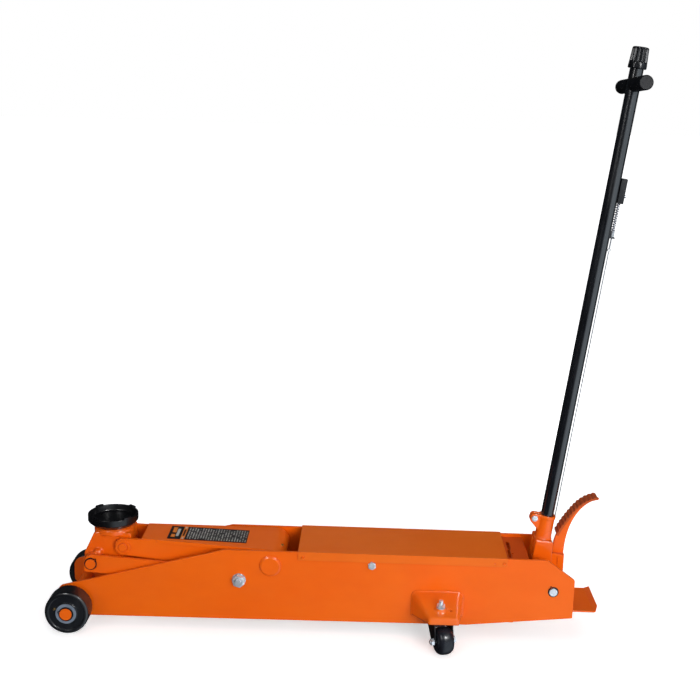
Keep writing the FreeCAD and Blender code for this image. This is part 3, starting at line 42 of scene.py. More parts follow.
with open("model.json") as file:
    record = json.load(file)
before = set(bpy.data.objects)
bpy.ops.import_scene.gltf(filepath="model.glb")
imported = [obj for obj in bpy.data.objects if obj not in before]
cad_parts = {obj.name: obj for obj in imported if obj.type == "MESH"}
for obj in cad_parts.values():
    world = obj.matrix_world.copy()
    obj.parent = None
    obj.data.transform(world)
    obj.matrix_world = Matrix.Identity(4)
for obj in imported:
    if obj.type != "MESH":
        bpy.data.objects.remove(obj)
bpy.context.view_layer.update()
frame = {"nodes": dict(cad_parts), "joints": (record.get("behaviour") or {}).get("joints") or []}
NODES = frame["nodes"]
JOINTS = {joint["name"]: joint for joint in frame["joints"]}
MM = 0.001
PLATE_Y = 96 * MM
LEFT, RIGHT = -1, 1
SIDES = ((LEFT, "left"), (RIGHT, "right"))
Y = Vector((0, 1, 0))
Z = Vector((0, 0, 1))


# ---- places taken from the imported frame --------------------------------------

def middle(node):
    """The centre of a CAD solid's box."""
    low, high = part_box(node)
    return (low + high) / 2


def joint_place(name):
    """Where a joint's axis passes, with every joint at rest."""
    return Vector(JOINTS[name]["pos_m"])


# ---- shader building ---------------------------------------------------------

class Shader:
    """A node material with short calls for the nodes that the finishes share."""

    def __init__(self, name):
        self.material = bpy.data.materials.new(name)
        self.material.use_nodes = True
        self.tree = self.material.node_tree
        self.bsdf = self.tree.nodes["Principled BSDF"]
        self.place = self.add("ShaderNodeTexCoord").outputs["Object"]

    def add(self, kind, **values):
        node = self.tree.nodes.new(kind)
        for key, value in values.items():
            setattr(node, key, value)
        return node

    def link(self, value, socket):
        """Connect another node's socket, or set a plain value; a colour gets full alpha."""
        if isinstance(value, bpy.types.NodeSocket):
            self.tree.links.new(value, socket)
        elif isinstance(value, (tuple, list)) and len(value) == 3 and socket.type == "RGBA":
            socket.default_value = (*value, 1)
        else:
            socket.default_value = value

    def set(self, **values):
        """Set inputs of the main shader by name, with _ for each space."""
        for key, value in values.items():
            self.link(value, self.bsdf.inputs[key.replace("_", " ")])

    def noise(self, scale, detail=3, roughness=0.55, stretch=None):
        """Cloudy 0..1 pattern; stretch scales its place along x, y and z first."""
        node = self.add("ShaderNodeTexNoise")
        node.inputs["Scale"].default_value = scale
        node.inputs["Detail"].default_value = detail
        node.inputs["Roughness"].default_value = roughness
        if stretch is None:
            self.link(self.place, node.inputs["Vector"])
        else:
            mapping = self.add("ShaderNodeMapping")
            mapping.inputs["Scale"].default_value = stretch
            self.link(self.place, mapping.inputs["Vector"])
            self.link(mapping.outputs[0], node.inputs["Vector"])
        return node.outputs["Fac"]

    def ramp(self, factor, low, high, start=0.0, end=1.0):
        """Scale a 0..1 factor between start and end into low..high."""
        node = self.add("ShaderNodeMapRange")
        self.link(factor, node.inputs["Value"])
        node.inputs["From Min"].default_value = start
        node.inputs["From Max"].default_value = end
        node.inputs["To Min"].default_value = low
        node.inputs["To Max"].default_value = high
        return node.outputs["Result"]

    def mix(self, factor, a, b):
        """Colour a where the factor is 0 and b where it is 1."""
        node = self.add("ShaderNodeMix", data_type="RGBA")
        self.link(factor, node.inputs["Factor"])
        self.link(a, node.inputs["A"])
        self.link(b, node.inputs["B"])
        return node.outputs["Result"]

    def math(self, operation, a, b=0.0):
        """One arithmetic step on two values."""
        node = self.add("ShaderNodeMath", operation=operation)
        self.link(a, node.inputs[0])
        self.link(b, node.inputs[1])
        return node.outputs[0]

    def axis(self, which):
        """One coordinate of the place on the object."""
        node = self.add("ShaderNodeSeparateXYZ")
        self.link(self.place, node.inputs[0])
        return node.outputs[which]

    def bump(self, height, strength, distance, normal=None):
        """Relief from a height pattern, on top of another normal if one is given."""
        node = self.add("ShaderNodeBump")
        node.inputs["Strength"].default_value = strength
        node.inputs["Distance"].default_value = distance
        self.link(height, node.inputs["Height"])
        if normal is not None:
            self.link(normal, node.inputs["Normal"])
        return node.outputs["Normal"]

    def soft_normal(self, radius):
        """A normal that turns gradually near edges, so that they catch the light."""
        node = self.add("ShaderNodeBevel", samples=6)
        node.inputs["Radius"].default_value = radius
        return node.outputs[0]

    def edge_mask(self, radius, threshold=0.02, softness=0.10):
        """Bright where an edge is near, from the difference of a rounded and a true normal."""
        rounded = self.add("ShaderNodeBevel", samples=4)
        rounded.inputs["Radius"].default_value = radius
        geometry = self.add("ShaderNodeNewGeometry")
        product = self.add("ShaderNodeVectorMath", operation="DOT_PRODUCT")
        self.link(rounded.outputs[0], product.inputs[0])
        self.link(geometry.outputs["Normal"], product.inputs[1])
        turned = self.math("SUBTRACT", 1.0, product.outputs["Value"])
        return self.ramp(turned, 0, 1, threshold, threshold + softness)

    def cavity(self, distance, low=0.0, high=1.0):
        """Painted shade: a factor that is dark in corners and gaps."""
        node = self.add("ShaderNodeAmbientOcclusion", samples=4)
        node.inputs["Distance"].default_value = distance
        return self.ramp(node.outputs["AO"], low, high)


def paint(name, colour, deep, pale, soft=0.0012, rough=0.28, coat=0.3, corner_shade=0.25, reach=0.012):
    """Sprayed enamel: orange peel, slight colour drift, painted shade in corners, thin paint on edges.
    """
    s = Shader(name)
    drift = s.noise(5, detail=4, roughness=0.6)
    tone = s.mix(s.ramp(drift, 0, 0.55, 0.3, 0.75), colour, pale)
    # Painted shade: in corners and gaps, found by ambient occlusion, the colour turns towards the deep
    # colour.
    corner = s.cavity(reach, 1.0, 0.0)
    tone = s.mix(s.math("MULTIPLY", corner, corner_shade), tone, deep)
    edge = s.math("MULTIPLY", s.edge_mask(0.0014), s.ramp(s.noise(90, detail=3), 0, 1, 0.42, 0.62))
    tone = s.mix(s.math("MULTIPLY", edge, 0.45), tone, pale)
    smear = s.noise(9, detail=3, roughness=0.5, stretch=(1, 1, 2.5))
    tone = s.mix(s.ramp(smear, 0, 0.08, 0.3, 0.8), tone, deep)
    peel = s.bump(s.noise(14, detail=2), 0.10, 0.002, s.soft_normal(soft))
    s.set(
        Base_Color=tone,
        Roughness=s.ramp(smear, rough - 0.02, rough + 0.10, 0.2, 0.8),
        Coat_Weight=coat,
        Coat_Roughness=s.ramp(smear, 0.08, 0.18, 0.2, 0.8),
        Specular_IOR_Level=0.22,
        Normal=s.bump(s.noise(260, detail=2, roughness=0.4), 0.12, 0.0005, peel),
    )
    return s.material


def gloss_black(name, rough=0.22, coat=0.8):
    """Stoved black enamel on tube, with faint lengthwise handling marks."""
    s = Shader(name)
    drift = s.noise(8, detail=3)
    tone = s.mix(s.ramp(drift, 0, 1, 0.35, 0.7), (0.0035, 0.004, 0.006), (0.008, 0.009, 0.012))
    dust = s.ramp(s.noise(420, detail=3), 0, 0.4, 0.68, 0.82)
    tone = s.mix(dust, tone, (0.07, 0.07, 0.075))
    scuff = s.noise(60, detail=4, roughness=0.6, stretch=(1, 1, 0.06))
    s.set(
        Base_Color=tone,
        Roughness=s.ramp(scuff, rough - 0.04, rough + 0.16, 0.35, 0.75),
        Coat_Weight=coat,
        Coat_Roughness=0.1,
        Normal=s.bump(s.noise(180, detail=2, roughness=0.4), 0.12, 0.0004),
    )
    return s.material


def cast_black(name):
    """Painted casting: pebbled skin with rubbed edges."""
    s = Shader(name)
    grain = s.noise(300, detail=4, roughness=0.6)
    tone = s.mix(s.ramp(grain, 0, 1, 0.4, 0.7), (0.0022, 0.0022, 0.0028), (0.0045, 0.0045, 0.006))
    edge = s.math("MULTIPLY", s.edge_mask(0.0016), s.ramp(s.noise(70, detail=3), 0, 1, 0.45, 0.65))
    tone = s.mix(s.math("MULTIPLY", edge, 0.35), tone, (0.06, 0.06, 0.07))
    s.set(
        Base_Color=tone,
        Roughness=s.ramp(s.noise(30, detail=4), 0.24, 0.44, 0.3, 0.7),
        Coat_Weight=0.15,
        Coat_Roughness=0.15,
        Specular_IOR_Level=0.35,
        Normal=s.bump(grain, 0.22, 0.0005),
    )
    return s.material


def moulded_black(name, rough, base, shine=0.3):
    """Moulded plastic or hard rubber with a fine matt skin, with painted shade in its grooves."""
    s = Shader(name)
    lighter = tuple(c * 2.0 for c in base)
    tone = s.mix(s.ramp(s.noise(14, detail=3), 0, 1, 0.35, 0.7), base, lighter)
    # Painted shade: near black in grooves and corners, from ambient occlusion.
    tone = s.mix(s.cavity(0.003, 0.9, 0.0), tone, (0.001, 0.001, 0.001))
    s.set(
        Base_Color=tone,
        Roughness=s.ramp(s.noise(40, detail=4), rough - 0.08, rough + 0.12, 0.3, 0.7),
        Specular_IOR_Level=shine,
        Normal=s.bump(s.noise(520, detail=3, roughness=0.6), 0.08, 0.0003),
    )
    return s.material


def zinc(name, colour=(0.86, 0.90, 0.96), rough=0.2):
    """Bright zinc plate with a bluish cast, slightly mottled, with painted shade in its corners."""
    s = Shader(name)
    mottle = s.noise(60, detail=3, roughness=0.5)
    corner = s.cavity(0.004, 1.0, 0.0)
    tone = s.mix(s.ramp(mottle, 0, 1, 0.35, 0.7), tuple(c * 0.82 for c in colour), colour)
    # Painted shade: darker grey in corners and gaps, from ambient occlusion.
    tone = s.mix(s.math("MULTIPLY", corner, 0.6), tone, (0.05, 0.05, 0.055))
    s.set(
        Base_Color=tone,
        Metallic=0.62,
        Roughness=s.ramp(mottle, rough - 0.06, rough + 0.10, 0.3, 0.7),
        Normal=s.bump(s.noise(600, detail=2), 0.06, 0.0002),
    )
    return s.material


def turned_steel(name, colour=(0.42, 0.42, 0.43), rough=0.3):
    """Turned or drawn steel with fine rings across its length and a film of oil."""
    s = Shader(name)
    rings = s.noise(900, detail=2, roughness=0.5, stretch=(1, 0.05, 0.05))
    stain = s.noise(25, detail=4)
    tone = s.mix(s.ramp(stain, 0, 0.7, 0.4, 0.75), colour, tuple(c * 0.5 for c in colour))
    s.set(
        Base_Color=tone,
        Metallic=1.0,
        Roughness=s.ramp(stain, rough - 0.08, rough + 0.15, 0.3, 0.7),
        Normal=s.bump(rings, 0.12, 0.0003),
    )
    return s.material


def brass(name):
    """Brass with brown tarnish in patches."""
    s = Shader(name)
    tarnish = s.noise(300, detail=3)
    tone = s.mix(s.ramp(tarnish, 0, 1, 0.4, 0.7), (0.78, 0.56, 0.26), (0.42, 0.27, 0.10))
    s.set(
        Base_Color=tone,
        Metallic=1.0,
        Roughness=s.ramp(tarnish, 0.2, 0.42),
        Normal=s.bump(tarnish, 0.1, 0.0002),
    )
    return s.material


def casting_grey(name):
    """Bare iron casting with a sandy grain."""
    s = Shader(name)
    grain = s.noise(240, detail=4)
    tone = s.mix(s.ramp(grain, 0, 1, 0.35, 0.7), (0.09, 0.09, 0.095), (0.17, 0.17, 0.175))
    s.set(
        Base_Color=tone,
        Metallic=0.6,
        Roughness=s.ramp(grain, 0.45, 0.7),
        Normal=s.bump(grain, 0.4, 0.0008),
    )
    return s.material


def label_film(name, node):
    """A glossy black plate with plain blocks and rows of dashes; places are shares of its box."""
    s = Shader(name)
    low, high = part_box(node)
    along = s.ramp(s.axis(0), 0, 1, low.x, high.x)
    over = s.ramp(s.axis(1), 0, 1, low.y, high.y)
    black = (0.012, 0.011, 0.011)
    white = (0.50, 0.48, 0.45)
    orange = (0.80, 0.20, 0.012)

    def band(value, start, end):
        return s.math("MULTIPLY", s.math("GREATER_THAN", value, start), s.math("LESS_THAN", value, end))

    def block(x0, x1, y0, y1):
        return s.math("MULTIPLY", band(along, x0, x1), band(over, y0, y1))

    tone = s.mix(block(0.035, 0.085, 0.50, 0.90), black, orange)
    tone = s.mix(block(0.035, 0.085, 0.14, 0.36), tone, orange)
    tone = s.mix(block(0.095, 0.130, 0.22, 0.80), tone, white)
    tone = s.mix(block(0.165, 0.215, 0.0, 1.0), tone, orange)
    tone = s.mix(block(0.178, 0.202, 0.26, 0.76), tone, black)
    tone = s.mix(block(0.180, 0.200, 0.03, 0.14), tone, white)
    tone = s.mix(block(0.180, 0.200, 0.86, 0.97), tone, white)
    row_count = 30
    dash_count = 34
    missing_dashes = 0.34
    row = s.math("MULTIPLY", along, row_count)
    in_row = band(s.math("FRACT", row), 0.26, 0.66)
    cell = s.add("ShaderNodeCombineXYZ")
    s.link(s.math("FLOOR", row), cell.inputs[0])
    s.link(s.math("FLOOR", s.math("MULTIPLY", over, dash_count)), cell.inputs[1])
    gaps = s.add("ShaderNodeTexWhiteNoise", noise_dimensions="2D")
    s.link(cell.outputs[0], gaps.inputs["Vector"])
    dashes = s.math("GREATER_THAN", gaps.outputs["Value"], missing_dashes)
    rows = s.math("MULTIPLY", s.math("MULTIPLY", in_row, dashes), block(0.235, 0.985, 0.06, 0.94))
    tone = s.mix(rows, tone, white)
    s.set(
        Base_Color=tone,
        Roughness=s.ramp(s.noise(60, detail=3), 0.22, 0.4),
        Coat_Weight=0.3,
        Normal=s.bump(s.noise(90, detail=2), 0.06, 0.0004),
    )
    return s.material


# Each enamel is given as its colour, its darker colour for painted shade in corners, and its colour on
# edges.
ORANGE = paint("orange_enamel", (0.88, 0.124, 0.002), (0.42, 0.036, 0.001), (0.92, 0.165, 0.006))
COVER_PAINT = paint(
    "cover_enamel", (0.84, 0.142, 0.005), (0.42, 0.046, 0.002), (0.88, 0.185, 0.012), soft=0.0025)
CAST_PAINT = paint(
    "casting_enamel", (0.86, 0.114, 0.002), (0.40, 0.034, 0.001), (0.92, 0.165, 0.006),
    soft=0.004, rough=0.22, coat=0.6)
POCKET_PAINT = paint(
    "pocket_enamel", (0.84, 0.118, 0.003), (0.50, 0.060, 0.003), (0.95, 0.20, 0.015),
    soft=0.007, rough=0.18, coat=1.0, corner_shade=0.0)
# A darker copy of the orange enamel for the deck: partly its own deeper red, partly painted shade.
DECK_PAINT_SHADED = paint("deck_enamel_shaded", (0.62, 0.072, 0.002), (0.25, 0.022, 0.001), (0.70, 0.095, 0.004))
# The tread enamel is a dark brown copy of the orange as painted shade, with deep painted shade in the
# valleys between the teeth.
TREAD_SHADED = paint(
    "tread_shaded_enamel", (0.46, 0.070, 0.010), (0.03, 0.006, 0.003), (0.60, 0.10, 0.012),
    soft=0.0006, rough=0.5, coat=0.1, corner_shade=2.2, reach=0.008)
BLACK_GLOSS = gloss_black("black_enamel")
BLACK_CAST = cast_black("black_casting")
BLACK_WHEEL = gloss_black("black_wheel_enamel", rough=0.34, coat=0.35)
BLACK_PLASTIC = moulded_black("black_plastic", 0.32, (0.003, 0.0035, 0.005))
BLACK_GRIP = moulded_black("black_grip", 0.5, (0.003, 0.0035, 0.005), shine=0.14)
# The rubber's black is raised and bluish: partly its own tone, partly a painted sheen.
BLACK_RUBBER = moulded_black("black_rubber", 0.30, (0.007, 0.008, 0.012), shine=0.35)
BLACK_OXIDE = moulded_black("black_oxide", 0.40, (0.003, 0.003, 0.004))
ZINC = zinc("zinc_plate")
ZINC_DULL = zinc("zinc_dull", (0.34, 0.40, 0.50), 0.45)
ZINC_ROD = zinc("zinc_rod", (0.42, 0.44, 0.47), 0.4)
SPRING_STEEL = turned_steel("spring_steel", (0.20, 0.20, 0.24), 0.3)
STEEL = turned_steel("turned_steel")
CHROME = turned_steel("hard_chrome", (0.72, 0.73, 0.75), 0.16)
CASTING = casting_grey("grey_casting")
BRASS = brass("nipple_brass")
LABEL = label_film("label_film", "label_plate")

CAD_FINISH = {
    ORANGE: (
        "side_plate_left", "side_plate_right", "cross_plates", "front_axle", "tail_tray",
        "lift_shaft", "lift_shaft_caps", "lift_arm", "arm_lid", "radius_rod_left", "radius_rod_right",
        "head_upper_pin", "head_lower_pin", "foot_pedal", "cover_screws",
    ),
    COVER_PAINT: ("top_cover",),
    DECK_PAINT_SHADED: ("rear_deck",),
    CAST_PAINT: ("lift_head", "handle_fork"),
    POCKET_PAINT: ("caster_pocket_left", "caster_pocket_right"),
    BLACK_GLOSS: ("handle_tube", "t_bar"),
    BLACK_WHEEL: ("front_wheel_left", "front_wheel_right"),
    BLACK_CAST: ("saddle",),
    BLACK_RUBBER: ("caster_wheel_left", "caster_wheel_right"),
    BLACK_OXIDE: (
        "axle_circlips", "rear_pin_circlips", "head_circlips", "caster_fork_left", "caster_fork_right",
        "twist_rod",
    ),
    ZINC_DULL: ("axle_washers",),
    ZINC: (
        "tie_bolt", "radius_rod_bolts", "lock_nuts", "caster_king_bolts", "clamp_bolt",
        "rear_pivot_pin", "caster_axle_left", "caster_axle_right",
    ),
    ZINC_ROD: ("latch_rod",),
    SPRING_STEEL: ("latch_spring",),
    STEEL: ("tie_spacer", "lever_pin", "ram_yoke", "pump_plunger", "release_spindle"),
    CHROME: ("ram",),
    CASTING: ("power_unit_block", "cylinder_tube"),
    BRASS: ("wheel_nipple_left", "wheel_nipple_right", "arm_grease_nipple"),
    BLACK_PLASTIC: ("release_knob", "latch_housing"),
    BLACK_GRIP: ("bar_grips",),
    LABEL: ("label_plate",),
}


# ---- mesh building -----------------------------------------------------------

def shade(mesh, angle=35):
    """Smooth faces that meet at less than the angle, and keep the other edges crisp."""
    for polygon in mesh.polygons:
        polygon.use_smooth = True
    mesh.set_sharp_from_angle(angle=math.radians(angle))


def round_edges(obj, width):
    """Give a solid's sharp edges a small radius with modifiers, so its mesh stays as packed."""
    weld = obj.modifiers.new("weld", "WELD")
    weld.merge_threshold = 0.00002
    rounding = obj.modifiers.new("rounding", "BEVEL")
    rounding.width = width
    rounding.segments = 2
    rounding.limit_method = "ANGLE"
    rounding.angle_limit = math.radians(30)
    rounding.use_clamp_overlap = True
    rounding.miter_outer = "MITER_ARC"
    normals = obj.modifiers.new("normals", "WEIGHTED_NORMAL")
    normals.keep_sharp = True


def soften_casting(obj, voxel, passes):
    """Turn a sharp solid into one skin with cast, rounded corners."""
    skin = obj.modifiers.new("skin", "REMESH")
    skin.mode = "VOXEL"
    skin.voxel_size = voxel
    skin.use_smooth_shade = True
    smooth = obj.modifiers.new("smooth", "SMOOTH")
    smooth.factor = 0.6
    smooth.iterations = passes


class Solid:
    """Collects the faces of one visible piece, in metres."""

    def __init__(self):
        self.vertices = []
        self.faces = []

    def add(self, vertices, faces):
        start = len(self.vertices)
        self.vertices += [Vector(v) for v in vertices]
        self.faces += [tuple(start + index for index in face) for face in faces]

    def rings(self, rings, place, closed=False):
        """Skin a stack of equal rings of points; the ends are closed with fans."""
        count = len(rings[0])
        vertices = [place @ Vector(p) for ring in rings for p in ring]
        faces = []
        levels = len(rings)
        for level in range(levels if closed else levels - 1):
            upper = (level + 1) % levels
            for index in range(count):
                after = (index + 1) % count
                faces.append((
                    level * count + index, level * count + after,
                    upper * count + after, upper * count + index))
        if not closed:
            faces.append(tuple(reversed(range(count))))
            faces.append(tuple((levels - 1) * count + index for index in range(count)))
        self.add(vertices, faces)

    def turned(self, profile, place, steps=48, closed=False, shape=None):
        """A piece turned about its own z from (radius, z) points; shape(angle, r, z) may reshape it."""
        rings = []
        for radius, height in profile:
            ring = []
            for index in range(steps):
                angle = 2 * math.pi * index / steps
                r, z = (radius, height) if shape is None else shape(angle, radius, height)
                ring.append((r * math.cos(angle), r * math.sin(angle), z))
            rings.append(ring)
        self.rings(rings, place, closed)

    def swept(self, path, radius, sides=10, closed=False):
        """A round bar along a path of points; radius may be a number or a function of the index."""
        rings = []
        count = len(path)
        side = None
        for index, spot in enumerate(path):
            before = path[index - 1] if index or closed else path[0]
            after = path[(index + 1) % count] if index < count - 1 or closed else path[-1]
            along = (after - before).normalized()
            if side is None:
                side = along.orthogonal().normalized()
            side = (side - along * side.dot(along)).normalized()
            other = along.cross(side)
            thick = radius(index) if callable(radius) else radius
            ring = []
            for step in range(sides):
                angle = 2 * math.pi * step / sides
                ring.append(spot + (side * math.cos(angle) + other * math.sin(angle)) * thick)
            rings.append(ring)
        self.rings(rings, Matrix(), closed)

    def extruded(self, outline, depth, place):
        """A flat plate from a 2-D outline, between z = 0 and z = depth."""
        count = len(outline)
        vertices = [place @ Vector((x, y, 0)) for x, y in outline]
        vertices += [place @ Vector((x, y, depth)) for x, y in outline]
        faces = [tuple(reversed(range(count))), tuple(range(count, 2 * count))]
        for index in range(count):
            after = (index + 1) % count
            faces.append((index, after, after + count, index + count))
        self.add(vertices, faces)

    def finish(self, name, material, body, nodes=(), angle=35):
        """Make the mesh, let it stand in for the CAD nodes, and join it to its body."""
        mesh = bpy.data.meshes.new(name)
        mesh.from_pydata([tuple(v) for v in self.vertices], [], self.faces)
        tidy = bmesh.new()
        tidy.from_mesh(mesh)
        bmesh.ops.recalc_face_normals(tidy, faces=tidy.faces)
        tidy.to_mesh(mesh)
        tidy.free()
        mesh.materials.append(material)
        shade(mesh, angle)
        obj = bpy.data.objects.new(name, mesh)
        bpy.context.scene.collection.objects.link(obj)
        if nodes:
            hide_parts(*nodes)
        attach(obj, body)
        return obj


def stand(place, axis):
    """A frame at a place whose z points along the axis."""
    return Matrix.Translation(place) @ Vector(axis).to_track_quat("Z", "Y").to_matrix().to_4x4()


# ---- how each CAD solid is finished ------------------------------------------

# Rounding radius in metres, and the solids that get it.
EDGE_WIDTHS = {
    0.0007: (
        "side_plate_left", "side_plate_right", "cross_plates", "tail_tray", "foot_pedal",
        "caster_fork_left", "caster_fork_right", "latch_housing", "front_axle", "rear_pivot_pin",
        "ram_yoke", "release_spindle", "power_unit_block", "cylinder_tube", "t_bar", "lift_shaft_caps",
    ),
    0.0012: ("lift_arm", "head_upper_pin"),
    0.0015: ("head_lower_pin", "front_wheel_left", "front_wheel_right"),
    0.0030: ("bar_grips",),
}
# Voxel size in metres, and smoothing passes.
CASTINGS = {
    "lift_head": (0.0016, 6),
    "handle_fork": (0.0013, 3),
    "caster_pocket_left": (0.0015, 22),
    "caster_pocket_right": (0.0015, 22),
}


def paint_pedal_tread():
    """The tread strip, in its darker enamel of painted shade, is the only part of the pedal that is
    both high and wide.
    """
    stem_top = 250 * MM
    stem_half = 20 * MM
    mesh = NODES["foot_pedal"].data
    mesh.materials.append(TREAD_SHADED)
    for polygon in mesh.polygons:
        places = [mesh.vertices[index].co for index in polygon.vertices]
        if min(v.z for v in places) > stem_top and max(abs(v.y) for v in places) > stem_half:
            polygon.material_index = 1


def finish_cad_nodes():
    """Give every CAD solid its material, its shading and its rounded edges."""
    for material, names in CAD_FINISH.items():
        for name in names:
            obj = NODES[name]
            obj.data.materials.clear()
            obj.data.materials.append(material)
            shade(obj.data)
    paint_pedal_tread()
    for width, names in EDGE_WIDTHS.items():
        for name in names:
            round_edges(NODES[name], width)
    for name, (voxel, passes) in CASTINGS.items():
        soften_casting(NODES[name], voxel, passes)


# ---- fasteners ---------------------------------------------------------------

def hexagon_radius(angle, corner):
    """Distance from the centre of a hexagon to its side at an angle."""
    flat = corner * math.cos(math.pi / 6)
    turned = (angle + math.pi / 6) % (math.pi / 3) - math.pi / 6
    return flat / math.cos(turned)


def hexagon_rings(corner, height, shank, steps, base=0.0):
    """Rings of a hexagon whose two faces are chamfered, from the base's middle up to the shank."""
    flat = corner * math.cos(math.pi / 6)
    face = flat * 0.97
    slope = math.tan(math.radians(30))
    rings = []

    def ring(radius_at, height_at):
        points = []
        for index in range(steps):
            angle = 2 * math.pi * index / steps
            radius = radius_at(angle)
            points.append((radius * math.cos(angle), radius * math.sin(angle), height_at(angle)))
        return points

    def drop(angle):
        return (hexagon_radius(angle, corner) - flat) * slope

    rings.append(ring(lambda a: face, lambda a: base))
    rings.append(ring(lambda a: hexagon_radius(a, corner), lambda a: base + drop(a)))
    rings.append(ring(lambda a: hexagon_radius(a, corner), lambda a: base + height - drop(a)))
    rings.append(ring(lambda a: face, lambda a: base + height))
    rings.append(ring(lambda a: shank * 1.08, lambda a: base + height))
    rings.append(ring(lambda a: shank, lambda a: base + height - 0.4 * MM))
    return rings


def thread_rings(radius, start, end, steps):
    """Rings of a threaded shank with a chamfered end."""
    rings = []
    pitch = 1.6 * MM
    depth = 0.6 * MM
    chamfer = 0.8 * MM
    per_pitch = 5
    tip_share = 0.75
    levels = max(2, int((end - start) / pitch * per_pitch))
    for level in range(levels + 1):
        height = start + (end - start) * level / levels
        ring = []
        for index in range(steps):
            angle = 2 * math.pi * index / steps
            wave = 0.5 + 0.5 * math.cos(2 * math.pi * (height / pitch) - angle)
            left = min(1.0, (end - height) / chamfer)
            here = radius - depth * (wave + 1 - left)
            ring.append((here * math.cos(angle), here * math.sin(angle), height))
        rings.append(ring)
    rings.append([(p[0] * tip_share, p[1] * tip_share, end + 0.2 * MM) for p in rings[-1]])
    return rings


def add_nut(solid, place, corner, height, shank, reach, washer=0.0, turn=0.0):
    """A washer, a nut and a bolt's threaded end, which stands up to reach on the place's z."""
    steps = 48
    gauge = 2.5 * MM
    spun = place @ Matrix.Rotation(turn, 4, "Z")
    base = 0.0
    if washer:
        chamfer = 0.4 * MM
        solid.turned([
            (shank, 0), (washer - chamfer, 0), (washer, chamfer), (washer, gauge - chamfer),
            (washer - chamfer, gauge), (shank, gauge),
        ], place, steps, closed=True)
        base = gauge
    rings = hexagon_rings(corner, height, shank, steps, base)
    rings += thread_rings(shank, base + height, reach, steps)
    solid.rings(rings, spun)


def add_bolt_head(solid, place, corner, height, shank, shank_length, turn=0.0):
    """A chamfered hexagon head above the place's origin, with its shank going down."""
    steps = 48
    spun = place @ Matrix.Rotation(turn, 4, "Z")
    flat = corner * math.cos(math.pi / 6)
    chamfer = 0.6 * MM
    dish_share = 0.9
    rings = []
    for radius, depth in ((shank * 0.9, -shank_length), (shank, -shank_length + chamfer), (shank, 0)):
        ring = []
        for index in range(steps):
            angle = 2 * math.pi * index / steps
            ring.append((radius * math.cos(angle), radius * math.sin(angle), depth))
        rings.append(ring)
    rings += hexagon_rings(corner, height, flat * 0.55, steps)[:-1]
    rings.append([(p[0] * dish_share, p[1] * dish_share, height - chamfer) for p in rings[-1]])
    solid.rings(rings, spun)


def make_lock_nuts():
    """The nuts and washers on the radius rod bolts and on the caster king bolts."""
    pocket_roof = 120.5 * MM
    solid = Solid()
    for side, word in SIDES:
        rod = joint_place("rod_%s_turn" % word)
        place = stand((rod.x, side * PLATE_Y, rod.z), Y * side)
        add_nut(
            solid, place, corner=18 * MM, height=12 * MM, shank=9 * MM, reach=20.5 * MM,
            washer=19 * MM, turn=0.2)
        stem = joint_place("caster_%s_swivel" % word)
        place = stand((stem.x, stem.y, pocket_roof), Z)
        add_nut(
            solid, place, corner=11 * MM, height=9 * MM, shank=6 * MM, reach=21.2 * MM,
            washer=12 * MM, turn=0.35)
    solid.finish("lock_nut_set", ZINC, "chassis", ("lock_nuts",), angle=25)


def make_tie_bolt():
    """The long bolt through both plates, with its head on the left side."""
    centre = middle("tie_spacer")
    corner = 11.5 * MM
    shank = 7 * MM
    solid = Solid()
    head = stand((centre.x, -PLATE_Y, centre.z), -Y)
    add_bolt_head(solid, head, corner, 7 * MM, shank, shank_length=2 * PLATE_Y, turn=0.15)
    nut = stand((centre.x, PLATE_Y, centre.z), Y)
    add_nut(solid, nut, corner, 9 * MM, shank, reach=17 * MM)
    solid.finish("tie_bolt_set", ZINC, "chassis", ("tie_bolt",), angle=25)


def make_clamp_bolt():
    """The pinch bolt across the socket's ears."""
    centre = middle("clamp_bolt")
    ear_y = 13 * MM
    corner = 9 * MM
    height = 6 * MM
    shank = 5 * MM
    solid = Solid()
    head = stand((centre.x, -ear_y, centre.z), -Y)
    add_bolt_head(solid, head, corner, height, shank, shank_length=2 * ear_y, turn=0.3)
    nut = stand((centre.x, ear_y, centre.z), Y)
    add_nut(solid, nut, corner, height, shank, reach=7 * MM)
    solid.finish("clamp_bolt_set", ZINC, "handle", ("clamp_bolt",), angle=25)


def make_caster_axles():
    """A bolt and nut through the legs of each caster's fork."""
    leg_face = 27.5 * MM
    corner = 10 * MM
    shank = 6 * MM
    for _, word in SIDES:
        centre = joint_place("caster_%s_spin" % word)
        axis = Vector(JOINTS["caster_%s_spin" % word]["axis"])
        solid = Solid()
        head = stand(centre + axis * leg_face, axis)
        add_bolt_head(solid, head, corner, 7 * MM, shank, shank_length=2 * leg_face, turn=0.2)
        nut = stand(centre - axis * leg_face, -axis)
        add_nut(solid, nut, corner, 8 * MM, shank, reach=11 * MM)
        solid.finish("caster_bolt_" + word, ZINC, "caster_" + word, ("caster_axle_" + word,), angle=25)


def make_caster_tyres():
    """Solid caster wheels whose tread is crowned from side to side."""
    half = 22 * MM
    tread = 20.5 * MM
    bore = 6.03 * MM
    hub_rim = 24 * MM
    hub_foot = 25.5 * MM
    shoulder = 27 * MM
    rise = 10.5 * MM
    fullness = 2.4
    crown_steps = 24
    crown = []
    for index in range(crown_steps + 1):
        share = math.sin(math.radians(-90 + 180 * index / crown_steps))
        crown.append((shoulder + rise * (1 - abs(share) ** fullness) ** 0.5, tread * share))
    profile = [(bore, -half), (hub_rim, -half), (hub_foot, -tread)] + crown
    profile += [(hub_foot, tread), (hub_rim, half), (bore, half)]
    for _, word in SIDES:
        joint = JOINTS["caster_%s_spin" % word]
        solid = Solid()
        solid.turned(profile, stand(joint["pos_m"], joint["axis"]), 72, closed=True)
        node = "caster_wheel_" + word
        solid.finish("caster_tyre_" + word, BLACK_RUBBER, "caster_roller_" + word, (node,))


# ---- rings, knob, spring and welds -------------------------------------------

